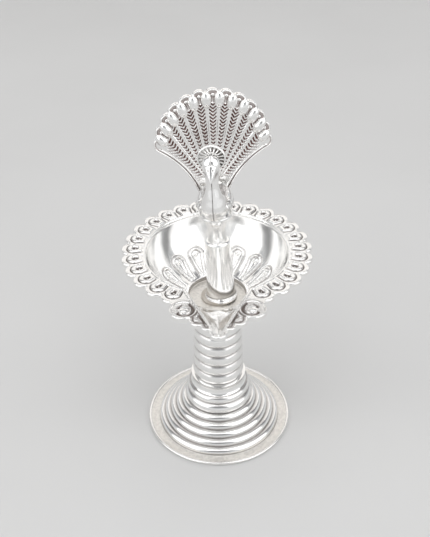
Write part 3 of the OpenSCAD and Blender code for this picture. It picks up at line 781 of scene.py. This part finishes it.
def border_relief(x, y, edge):
    """Relief, and tarnish with painted shade in its grooves and hollows, of the border, seen from above.
    """
    side = np.abs(x)
    round_part, round_dark, d = loop_relief(x, y, np.hypot(x, y))
    scroll, groove = scroll_relief(side - SCROLL[0], y - SCROLL[1])
    leaf, leaf_groove = leaf_relief(side - LEAF[0], y - LEAF[1])
    rho = np.hypot(side - SCROLL[0], y - SCROLL[1])
    ridge_d = (side - SPOUT_FLARE * (SPOUT_APEX + y)) * math.cos(math.atan(SPOUT_FLARE))
    ridge = 0.6 * smooth(ridge_d / 0.5) * smooth((RIDGE_W - ridge_d) / 0.4)
    gully = wire(ridge_d - 1.8, 0.45, 1.0) * smooth((y + 46.5) / 1.5) * smooth((-39.5 - y) / 1.5)
    on_scroll = rho < SCROLL_R
    on_front = (side < 17.5) & (y < -27.5) & (on_scroll | (y < -33 - 0.35 * side))
    front = np.where(on_scroll, scroll, leaf) - 0.5 * gully
    marks = np.maximum(np.where(on_scroll, groove, leaf_groove), gully)
    marks = np.maximum(marks, wire(rho - SCROLL_R + 0.1, 0.4, 0.9))
    marks = np.maximum(marks, np.where(on_scroll, 0, wire(edge - 1.35, 0.4, 0.9)))
    web = 0.5 * smooth((-30.5 - y) / 1.5) * smooth((d - 0.2) / 0.3) * (side < 17)
    h = np.where(on_front, front, np.maximum(round_part, web))
    beside = np.maximum(ridge, h * smooth((ridge_d - 1.2) / 0.4))
    h = np.where((ridge_d < RIDGE_W) & (y < 0), beside, h)
    h = np.maximum(h, wire(edge - 0.55, 0.55, 0.55))
    # Tarnish with painted shade in the grooves of the scroll and the leaf, in the gully and round the
    # loops
    dark = np.where(on_front, marks * (ridge_d > 1.3), 0.9 * round_dark)
    return h, np.clip(dark * smooth((edge - 0.3) / 0.3), 0, 1)


def spout_mouth():
    """Angle in degrees from the spout at which the bowl's rim meets the channel."""
    def wide(a):
        return BOWL_R * math.sin(a) > SPOUT_FLARE * (SPOUT_APEX - BOWL_R * math.cos(a))

    return math.degrees(halved(0.0, math.pi / 2, wide)[0])


def make_border():
    """Scalloped plate round the bowl and the channel."""
    turns = np.radians(SPOUT_GAP / 2 + LOBE_PITCH * np.arange(LOBES))
    ring = [(math.sin(t) * LOBE_C, -math.cos(t) * LOBE_C, LOBE_R) for t in turns]
    right = [(*TIP, TIP_R), (3.7, -46.7, 2.5), (*LEAF, LEAF_R), (*SCROLL, SCROLL_R), (15.0, -33.3, 2.5)]
    left = [(-x, y, r) for x, y, r in reversed(right[1:])]
    round_trip = right + ring + left
    outline, _ = chain([round_trip[-1]] + round_trip + [round_trip[0]])
    start = spout_mouth()
    circle = arc((0, 0), BOWL_R, -90 + start, 270 - start, 900)
    tip = np.array([SPOUT_FLARE * (SPOUT_APEX - SPOUT_POINT), -SPOUT_POINT])
    mouth = circle[0]
    down = [between(mouth * [-1, 1], tip * [-1, 1], t) for t in np.linspace(0, 1, 130)[1:]]
    back = [between(tip, mouth, t) for t in np.linspace(0, 1, 130)[:-1]]
    hole = circle + down + back
    relief("border", "bowl", ["rim_border"], [outline, hole], 0.2, border_relief, BORDER_T,
           lambda p: p + [0, 0, RIM_Z], silver)


# Post and peacock

def axes(points):
    """The x, y and z of points."""
    return np.moveaxis(np.asarray(points, float), -1, 0)


def about_z(points, degrees):
    """Points turned about the upright axis."""
    a = math.radians(degrees)
    x, y, z = axes(points)
    return np.stack([x * math.cos(a) - y * math.sin(a), x * math.sin(a) + y * math.cos(a), z], -1)


def leaning(points):
    """Points of the post, from the middle of its seat, in their place in the bowl."""
    a = math.radians(FINIAL_LEAN)
    x, y, z = axes(points)
    across = x * math.cos(a) - z * math.sin(a) + POST_SHIFT
    return np.stack([across, y, x * math.sin(a) + z * math.cos(a) + POST_Z], -1)


def finial(points):
    """Points of the bird, from the top of the post, in their place."""
    return leaning(about_z(points, FINIAL_TURN) + [0, 0, POST_H])


def fan_plane(points):
    """Points of the fan, with z counted from its front face, in their place.

    The fan stands upright and doesn't lean with the post."""
    a = math.radians(FAN_ROLL)
    x, up, out = axes(points)
    z = up - FAN_C
    rise = z * math.cos(a) - x * math.sin(a) + FAN_C
    upright = np.stack([x * math.cos(a) + z * math.sin(a), -out, rise], -1)
    return finial(about_z(upright, FAN_TWIST) + [0, FAN_FRONT, 0])


def on_seat(points):
    """The leaning post, cut flat where it stands on its washer."""
    placed = leaning(points)
    placed[..., 2] = np.maximum(placed[..., 2], POST_Z)
    return placed


POST_FLARE = 0.95
POST_COVE_R = 2.4
POST_LIP_R = 0.4
POST_SINK = 0.5
POST_TAPER = 0.9
STUD_HOLE = (4.4, 8)
CENTRE_BORE = 0.4
PEG_R = 2.0
PEG_H = 5
PEG_BORE = 0.3


def make_post():
    """Plain post with a flared foot, a round shoulder and a socket at each end."""
    top_r = POST_TAPER * POST_R
    shoulder = top_r - CALYX_R
    foot_r = POST_R + POST_FLARE
    hole_r, hole_z = STUD_HOLE
    cup_r, cup_z = PEG_R + SEAM_GAP, POST_H - PEG_H
    profile = [(hole_r, -POST_SINK), (foot_r - 0.2, -POST_SINK), (foot_r, 0.25)]
    profile += arc((foot_r - POST_LIP_R, 0.45), POST_LIP_R, 0, 80, 6)
    profile += arc((POST_R + POST_COVE_R, 2.5), POST_COVE_R, 222, 182, 18)
    profile += [(between(POST_R, top_r, (z - 5) / (POST_H - 6)), z)
                for z in np.linspace(5, POST_H - shoulder - 0.4, 14)]
    profile += arc((CALYX_R, POST_H - shoulder), shoulder, 5, 90, 14)
    profile += [(cup_r, POST_H), (cup_r, cup_z), (CENTRE_BORE, cup_z)]
    profile += [(CENTRE_BORE, hole_z), (hole_r, hole_z)]
    turned("post", "finial", ["perch_post"], profile, silver, place=on_seat)


SEAM_DEPTH = 0.045
SEAM_W = 1.6


def seamed(points):
    """Points of the cup, with the seam of its two halves in front."""
    away = np.degrees(np.arctan2(points[..., 0], -points[..., 1]))
    keep = 1 - SEAM_DEPTH * bell(away, SEAM_W) * (points[..., 2] > 0.2)
    return finial(points * np.stack([keep, keep, np.ones_like(keep)], -1))


def make_calyx():
    """Cup on a peg, which flares from the post to the belly and is filled by a mound."""
    bend = 1.03 * CALYX_H
    middle = (CALYX_R - 0.4 + bend, 0.26 * CALYX_H)
    top = CALYX_H - 0.75
    flank = [(middle[0] - math.sqrt(bend ** 2 - (z - middle[1]) ** 2), z)
             for z in np.linspace(0, top, 34)]
    profile = [(PEG_BORE, -PEG_H), (PEG_R, -PEG_H), (PEG_R, 0)] + flank
    profile += arc((CALYX_RIM_R - 0.35, top + 0.35), 0.4, -10, 150, 12)
    mound = [(1.0, 0.45), (1.5, 0.85), (2.1, 1.5), (2.8, 2.1), (3.6, 2.6)]
    profile += [(CALYX_RIM_R - inset, top + rise) for inset, rise in mound] + [(PEG_BORE, top + 2.8)]
    turned("calyx", "finial", ["belly_calyx"], profile, silver, place=seamed)


# Rings of the bird: y and z of the back and of the front, and half the width
BIRD = [(-4.0, 38.9, -5.2, 38.9, 0.6), (-2.2, 37.9, -7.0, 37.6, 2.5), (-1.6, 35.4, -8.1, 34.9, 3.3),
        (-2.4, 31.8, -7.6, 31.0, 2.6), (-3.0, 28.2, -7.7, 27.0, 2.3), (-2.3, 24.4, -9.0, 22.2, 3.1),
        (0.2, 21.4, -9.8, 16.9, 4.7), (3.2, 20.9, -6.4, 11.7, 5.3), (6.0, 20.8, 0.8, 11.4, 4.6),
        (8.0, 20.2, 7.0, 13.6, 3.0), (8.6, 19.6, 8.6, 14.2, 2.6)]
SEAM_DIP = 0.16

# Rings of a wing: y and z of the middle, half the height, and the reach from the seam
WING = [(-6.6, 17.6, 0.6, 4.4), (-5.2, 17.2, 2.3, 6.0), (-2.0, 16.8, 3.5, 7.1),
        (2.0, 17.0, 3.2, 7.0), (5.6, 18.2, 2.3, 5.8), (8.2, 19.4, 0.6, 3.8)]
WING_ROOT = 2.0
WING_GROOVE = 0.22
SCALE_ROWS = 9
FEATHERS = 5
BEAK_ROOT = np.array([0, -5.6, 35.6])
BEAK_TIP = np.array([0, -10.9, 30.5])


def beak_radius(t):
    """Radius of the beak, from its root (0) to its tip (1)."""
    return 2.75 * (1 - t) ** 0.72 * np.minimum(1.0, 0.55 + 2.6 * t) + 0.12


def creases(points):
    """Painted shadow on the bird's skin round the root of the beak, and painted shade along the edge of
    the wing.
    """
    axis = BEAK_TIP - BEAK_ROOT
    t = np.clip((points - BEAK_ROOT) @ axis / (axis @ axis), 0, 1)
    off = np.linalg.norm(points - BEAK_ROOT - t[..., None] * axis, axis=-1) - beak_radius(t)
    # Painted shadow: a dark halo on the neck under the beak
    beak = bell(off, 1.1) * smooth((34 - points[..., 2]) / 1.5)
    # Painted shade along the edge of the wing, where it meets the body
    wing = np.array(WING)
    middle = np.interp(points[..., 1], wing[:, 0], wing[:, 1])
    half = np.interp(points[..., 1], wing[:, 0], wing[:, 2])
    off = np.abs(points[..., 2] - middle) - half
    on_side = (points[..., 1] > wing[0, 0]) & (points[..., 1] < wing[-1, 0])
    return np.maximum(0.75 * beak, 0.45 * bell(off, 0.35) * on_side)


def end_caps(rows, columns):
    """The two end faces of a tube made of a grid of points, each a group."""
    last = (rows - 1) * columns
    return [list(range(columns))], [list(range(last, last + columns))]


def mirrored(kind, ending, right, dark):
    """The right piece and its mirror image, closed towards the middle and at the ends."""
    rows, columns = right.shape[:2]
    n = columns - 1
    seam = [[k, k + columns, k + columns + n, k + n] for k in range(0, (rows - 1) * columns, columns)]
    faces = [quads(rows, columns), seam, *end_caps(rows, columns)]
    for side, name in ((1, "right"), (-1, "left")):
        put(f"{kind}_{name}_{ending}", "finial", [f"{kind}_{name}"], finial(right * [side, 1, 1]), faces,
            silver, dark, sharp=60)


def make_bird():
    """The two halves of the bird, with a dip at their seam."""
    rings = spline(BIRD, 9)
    degrees = np.concatenate([[0.0, 2.5, 5.5], np.linspace(10, 170, 50), [174.5, 177.5, 180.0]])
    angles = np.radians(degrees)
    dip = np.where((angles < 0.01) | (angles > math.pi - 0.01), SEAM_DIP, 0.0)
    back, front, half = rings[:, None, 0:2], rings[:, None, 2:4], rings[:, None, 4]
    middle, reach = (back + front) / 2, (back - front) / 2
    length = np.linalg.norm(reach, axis=-1)
    yz = middle + reach * (np.cos(angles) * (1 - dip / np.maximum(length, 0.5)))[..., None]
    x = np.maximum(half - dip, 0.1) * np.sin(angles) + 0.05
    right = np.stack([x, yz[..., 0], yz[..., 1]], -1)
    # Painted shadow under the beak and painted shade at the wing's edge
    dark = creases(right)
    dark[:, [0, -1]] = np.maximum(dark[:, [0, -1]], 0.55)
    mirrored("bird", "half", right, dark)


def make_beak():
    """Beak with a slit and two nostrils."""
    way = BEAK_TIP - BEAK_ROOT
    up = np.cross(way / np.linalg.norm(way), [1.0, 0, 0])
    a = np.linspace(0, 2 * math.pi, 64, endpoint=False)
    rows, dark = [], []
    for t in np.linspace(0, 1, 44):
        r = beak_radius(t)
        slit = bell(np.sin(a) - 0.12, 0.10) * smooth((t - 0.22) / 0.1)
        nostril = bell(np.abs(np.cos(a)) - 0.42, 0.10) * bell(t - 0.40, 0.045) * (np.sin(a) > 0)
        cut = 1 - 0.09 * slit - 0.16 * nostril
        ring = np.outer(np.cos(a) * r * cut, [1, 0, 0]) + np.outer(np.sin(a) * r * 0.92 * cut, up)
        rows.append(BEAK_ROOT + way * t + up * 0.35 * math.sin(math.pi * t) + ring)
        # Tarnish with painted shade in the slit and in the nostrils
        dark.append(np.clip(0.6 * slit * (t < 0.95) + 0.9 * nostril, 0, 1))
    rows = np.array(rows)
    n, m = rows.shape[:2]
    faces = [quads(n, m, False, True), *end_caps(n, m)]
    put("beak_piece", "finial", ["beak"], finial(rows), faces, silver, np.array(dark))


CREST_R = 5.3
CREST_AT = (-1.1, 36.1)
CREST_T = 0.9
CREST_RIBS = 16
CREST_SPAN = 290


def crest_relief(x, y, _):
    """Relief and painted shade of the comb, from its middle; the edge distance isn't needed."""
    r = np.hypot(x, y)
    a = np.degrees(np.arctan2(-x, y))
    pitch = CREST_SPAN / (CREST_RIBS - 1)
    phase = (a / pitch + 0.5) % 1 - 0.5
    slot = np.clip((np.abs(phase) - 0.22) / 0.12, 0, 1)
    slot = slot * smooth((r - 2.4) / 0.5) * smooth((4.75 - r) / 0.25)
    rim = wire(r - 4.85, 0.3, 0.25)
    # Painted shade: the slots are dark, and darker towards the right side, which lies in shade
    return 0.45 - 0.75 * slot + rim, slot * between(0.25, 0.9, smooth((x + 2) / 3))


def crest_plane(points):
    """Points of the comb, with z counted from its front face, in their place."""
    y, z = CREST_AT
    return finial(np.stack([points[:, 0], y - CREST_T / 2 - points[:, 2], z + points[:, 1]], -1))


def make_crest():
    """Round comb behind the head."""
    gap = 180 - CREST_SPAN / 2
    outline = arc((0, 0), CREST_R, -90 + gap, 270 - gap, 260)
    outline += [(-1.2, -2.6), (1.2, -2.6)]
    relief("crest_comb", "finial", ["crest"], [outline], 0.1, crest_relief, CREST_T / 2, crest_plane,
           silver, round_edge=0.15)


def make_wings():
    """Folded wings, with scales in front and long feathers behind."""
    rings = spline(WING, 14)
    a = np.radians(90 - np.linspace(0, 180, 45))
    rows, dark = [], []
    for k, (y, z, half, reach) in enumerate(rings):
        t = k / (len(rings) - 1)
        lines = 0.5 + 0.5 * np.cos(2 * math.pi * (FEATHERS * (np.sin(a) + 1) / 2))
        scales = 0.5 + 0.5 * np.cos(2 * math.pi * (SCALE_ROWS * t + 0.5 * np.abs(np.sin(10 * a))))
        blend = smooth((t - 0.35) / 0.15)
        groove = (scales * (1 - blend) + lines * blend) ** 3 * smooth(half / 1.5)
        x = WING_ROOT + (reach - WING_ROOT) * np.cos(a) - WING_GROOVE * groove * np.cos(a)
        rows.append(np.stack([x, np.full_like(a, y), z + half * np.sin(a)], -1))
        # Tarnish with painted shade in the grooves between the scales and the feathers
        dark.append(groove * 0.6)
    mirrored("wing", "piece", np.array(rows), np.array(dark))


HALF_SPAN = 80.0
RIB_PITCH = 2 * HALF_SPAN / (FAN_RIBS - 1)
RIB_ANGLES = np.radians(RIB_PITCH * (np.arange(FAN_RIBS) - (FAN_RIBS - 1) / 2))
DROP_C = FAN_R - 1.65
DROP_R = 2.05
DROP_H = 2.2
DROP_PEAK = 1.4
DROP_TAIL = 3.6
RIB_TIPS = np.stack([DROP_C * np.sin(RIB_ANGLES), FAN_LIFT + DROP_C * np.cos(RIB_ANGLES)], -1)
BUMP_R = 3.3
BUMP_C = FAN_R - 2.4
EYE_C = BUMP_C + 1
EYE_R = 0.75
CORNER_R = 3.35
CORNER_C = FAN_R - 2.3
CORNER_TURN = HALF_SPAN + 0.54 * RIB_PITCH
WAIST_W = 6.0
WAIST_Z = FAN_FOOT - 1.6
WAIST_TILT = math.radians(20)
TAB_Z = FAN_FOOT - 5
SIDE_R = 34.5
SIDE_C = np.array([WAIST_W + SIDE_R * math.cos(WAIST_TILT), WAIST_Z - SIDE_R * math.sin(WAIST_TILT)])
SIDE_BAND = 2.1
BARB_PITCH = 1.4
BARB_SLOPE = 0.65
BARB_H = 0.45
# Half width and height of a rib at its start and at its drop
RIB_START = 7
RIB_W = (0.38, 0.98)
RIB_H = (0.5, 0.85)
# The first and the last drop have no rib, so a wide lane of barbs runs down each side
INNER_RIB = np.arange(FAN_RIBS) % (FAN_RIBS - 1) > 0
RIB_LENGTHS = np.linalg.norm(RIB_TIPS, axis=1)
RIB_WAYS = np.arctan2(RIB_TIPS[:, 0], RIB_TIPS[:, 1])
OUTER_SPINE = between(RIB_WAYS[-2], RIB_WAYS[-1], 0.65)


def rib_relief(p):
    """Relief of the ribs and drops, and the distance from them."""
    along = RIB_TIPS / RIB_LENGTHS[:, None]
    s = p @ along.T
    t = p[:, :1] * along[:, 1] - p[:, 1:] * along[:, 0]
    run = np.clip((s - RIB_START) / (RIB_LENGTHS - RIB_START), 0, 1)
    width = between(*RIB_W, run)
    crown = between(*RIB_H, run)
    on_rib = (s < RIB_LENGTHS) & INNER_RIB
    rib = crown * np.sqrt(np.clip(1 - (t / width) ** 2, 0, 1)) * smooth((s - 5) / 2) * on_rib
    from_peak = s - RIB_LENGTHS + DROP_PEAK
    tail = np.where(INNER_RIB, DROP_TAIL, DROP_R)
    egg = (from_peak / np.where(from_peak > 0, DROP_R + DROP_PEAK, tail)) ** 2 + (t / DROP_R) ** 2
    drop = DROP_H * np.sqrt(np.clip(1 - egg, 0, 1))
    off = np.where(on_rib, np.abs(t) - width, 9.0)
    return np.maximum(rib, drop).max(1), np.minimum(off, DROP_R * (np.sqrt(egg) - 1)).min(1)


def barb_pattern(bearing, reach):
    """Barbs between the ribs, from 0 to 1, and the distance past the spine of an outer lane."""
    lane = np.clip(np.searchsorted(RIB_WAYS, bearing) - 1, 1, FAN_RIBS - 3)
    wide = RIB_WAYS[lane + 1] - RIB_WAYS[lane]
    q = 2 * (bearing - RIB_WAYS[lane]) / wide - 1
    past_spine = reach * np.sin(np.abs(bearing) - OUTER_SPINE)
    inner = reach * wide / 2 * np.abs(q)
    across = np.where(np.abs(q) <= 1, inner, BARB_SLOPE * np.abs(past_spine))
    return smooth(0.62 + 0.75 * np.cos(2 * math.pi * (reach - across) / BARB_PITCH)), past_spine


def fan_relief(x, z, edge):
    """Relief, and tarnish with painted shade, of the tail fan, seen from the front; z counts from the
    top of the post.
    """
    rise = z - FAN_FOOT
    ribs, beside = rib_relief(np.stack([x, rise], -1))
    reach = np.hypot(x, rise)
    barb, past_spine = barb_pattern(np.arctan2(x, rise), reach)
    round_r = np.hypot(x, z - FAN_C)
    upper = z > FAN_C - 3
    fade = np.where(upper, smooth((BUMP_C - 1.7 - round_r) / 0.7), 1.0) * smooth((reach - 6) / 2)
    turn = np.round(np.degrees(np.arctan2(x, z - FAN_C)) / RIB_PITCH) * math.radians(RIB_PITCH)
    eye_d = np.hypot(x - EYE_C * np.sin(turn), z - FAN_C - EYE_C * np.cos(turn))
    scallop = np.abs(turn) < math.radians(HALF_SPAN)
    eye = wire(eye_d, EYE_R, EYE_R) * scallop
    sides = (np.abs(x) > WAIST_W - 2.5) & (z < FAN_C - 1) & (edge < SIDE_BAND)
    line = np.where(sides, np.maximum(wire(edge - 0.45, 0.45, 0.6), wire(edge - 1.45, 0.4, 0.5)), 0)
    rim = np.where(upper & ~sides, wire(edge - 0.45, 0.45, 0.6), 0)
    h = np.maximum.reduce([ribs, BARB_H * barb * fade * ~sides, eye, line, rim])
    clear = (ribs < 0.06) & (h < 0.35)
    pale = 0.65 * smooth((past_spine - 0.3) / 1.2)
    # Tarnish with painted shade in the valleys between the barbs
    valley = (1 - barb) * fade * ~sides * (1 - pale)
    # Painted shade round the ribs and drops, and in the pits round the eyes
    moat = bell(np.clip(beside, 0, None), 0.22) * smooth((reach - 6.5) / 2)
    pit = smooth((2.1 - eye_d) / 0.5) * scallop
    # Painted shade: the dark line along the edge widens towards the lower right side
    deep = smooth((FAN_C - 4 - z) / 4) * smooth(x / 2)
    ring = np.where(sides | upper, bell(edge - 0.95, between(0.16, 0.45, deep)), 0)
    ring *= between(0.85, 0.6, upper)
    return h, np.clip(np.maximum.reduce([0.95 * valley, 0.75 * moat, 0.5 * pit, ring]) * clear, 0, 1)


def make_fan():
    """Spread tail with scallops, ribs, drops, eyes and barbs."""
    bumps = [(BUMP_C * math.sin(a), FAN_C + BUMP_C * math.cos(a), BUMP_R)
             for a in np.radians(RIB_PITCH * (np.arange(FAN_RIBS - 1) - (FAN_RIBS - 2) / 2))][::-1]
    a = math.radians(CORNER_TURN)
    corner = (CORNER_C * math.sin(a), FAN_C + CORNER_C * math.cos(a), CORNER_R)
    side = (*SIDE_C, SIDE_R)
    top, last = chain([side, corner] + bumps + [(-corner[0], *corner[1:]), (-side[0], *side[1:])])
    middle = SIDE_C * [-1, 1]
    a0 = math.degrees(math.atan2(last[1] - middle[1], last[0] - middle[0]))
    left = arc(middle, SIDE_R, a0, math.degrees(WAIST_TILT), 150)
    right = [p * [-1, 1] for p in left][::-1]
    tab = [(-WAIST_W, TAB_Z), (WAIST_W, TAB_Z)]
    outline = top + left + tab + right[:-1]
    relief("fan", "finial", ["tail_fan"], [outline], 0.16, fan_relief, FAN_T, fan_plane, fan_silver,
           round_edge=0.25, hollow=0.5)


for make in (make_foot, make_collar, make_stem, make_bowl, make_spout, make_border, make_post,
             make_calyx, make_bird, make_beak, make_crest, make_wings, make_fan):
    make()


# Floor, light and camera

FLOOR_M = 0.95
FLOOR_SIDES = 72
AIM_M = 0.08


def make_floor():
    """Plain pale floor, a disc with its radius in metres."""
    mesh = bpy.data.meshes.new("floor")
    rim = [(*p, 0) for p in arc((0, 0), FLOOR_M, 0, 360, FLOOR_SIDES)[:-1]]
    mesh.from_pydata(rim, [], [range(len(rim))])
    floor = bpy.data.objects.new("floor", mesh)
    bpy.context.scene.collection.objects.link(floor)
    paper, tree, shader, where = new_material("paper")
    cloud = noise(tree, where, 6.0, 3.0)
    pale = ramp(tree, cloud, [(0.3, (0.65, 0.65, 0.645)), (0.7, (0.68, 0.68, 0.675))])
    tree.links.new(pale, shader.inputs["Base Color"])
    shader.inputs["Roughness"].default_value = 0.8
    mesh.materials.append(paper)


def softbox(name, azimuth, elevation, distance, width, height, radiance, colour=(1, 1, 1)):
    """Area light that faces the lamp, in metres; azimuth from the spout towards +X, in degrees."""
    a, e = math.radians(azimuth), math.radians(elevation)
    data = bpy.data.lights.new(name, "AREA")
    data.shape = "RECTANGLE"
    data.size, data.size_y = width, height
    data.energy = math.pi * width * height * radiance
    data.color = colour
    light = bpy.data.objects.new(name, data)
    aim = Vector((0, 0, AIM_M))
    way = Vector((math.sin(a) * math.cos(e), -math.cos(a) * math.cos(e), math.sin(e)))
    light.location = aim + distance * way
    light.rotation_euler = (aim - light.location).to_track_quat("-Z", "Y").to_euler()
    bpy.context.scene.collection.objects.link(light)


def make_light():
    """Pale surroundings and five softboxes."""
    world = bpy.data.worlds.new("studio")
    bpy.context.scene.world = world
    world.use_nodes = True
    tree = world.node_tree
    way = node(tree, "ShaderNodeTexCoord").outputs["Generated"]
    rise = node(tree, "ShaderNodeSeparateXYZ", {0: way}).outputs["Z"]
    colour = ramp(tree, rise, [(0.0, (0.85, 0.855, 0.86)), (0.3, (0.50, 0.51, 0.52)),
                               (0.6, (0.22, 0.22, 0.225)), (0.95, (0.26, 0.26, 0.27))])
    tree.links.new(colour, tree.nodes["Background"].inputs["Color"])
    softbox("left_box", -60, 36, 1.15, 1.25, 1.3, 1.1)
    softbox("right_box", 60, 36, 1.15, 1.25, 1.3, 1.1)
    softbox("front_box", 4, 62, 1.25, 0.95, 0.55, 1.08)
    softbox("top_box", 0, 90, 1.1, 0.95, 0.7, 1.15)
    softbox("back_panel", 180, 42, 1.2, 2.3, 0.8, 0.80, (1.0, 0.97, 0.93))


CAMERA_AT = np.array([-0.98, -267.93, 274.03])
CAMERA_PITCH = 0.6253
CAMERA_YAW = 0.0006
CAMERA_ROLL = -0.015
FOCAL_PX = 828.1
PHOTO_HEIGHT_PX = 537
SENSOR = 36.0


def make_camera():
    """Camera that took the photograph, fitted to the rings of the lamp."""
    sy, cy = math.sin(CAMERA_YAW), math.cos(CAMERA_YAW)
    sp, cp = math.sin(CAMERA_PITCH), math.cos(CAMERA_PITCH)
    ahead = Vector((sy * cp, cy * cp, -sp))
    right = Vector((cy, -sy, 0))
    up = right.cross(ahead)
    c, s = math.cos(CAMERA_ROLL), math.sin(CAMERA_ROLL)
    right, up = c * right + s * up, -s * right + c * up
    data = bpy.data.cameras.new("camera")
    data.sensor_width = SENSOR
    data.lens = FOCAL_PX / PHOTO_HEIGHT_PX * SENSOR
    data.clip_start = 0.01
    camera = bpy.data.objects.new("camera", data)
    turn = Matrix((right, up, -ahead)).transposed().to_4x4()
    camera.matrix_world = Matrix.Translation(Vector(CAMERA_AT * MM)) @ turn
    bpy.context.scene.collection.objects.link(camera)
    bpy.context.scene.camera = camera


make_floor()
make_light()
make_camera()
bpy.context.scene.view_settings.view_transform = "Standard"
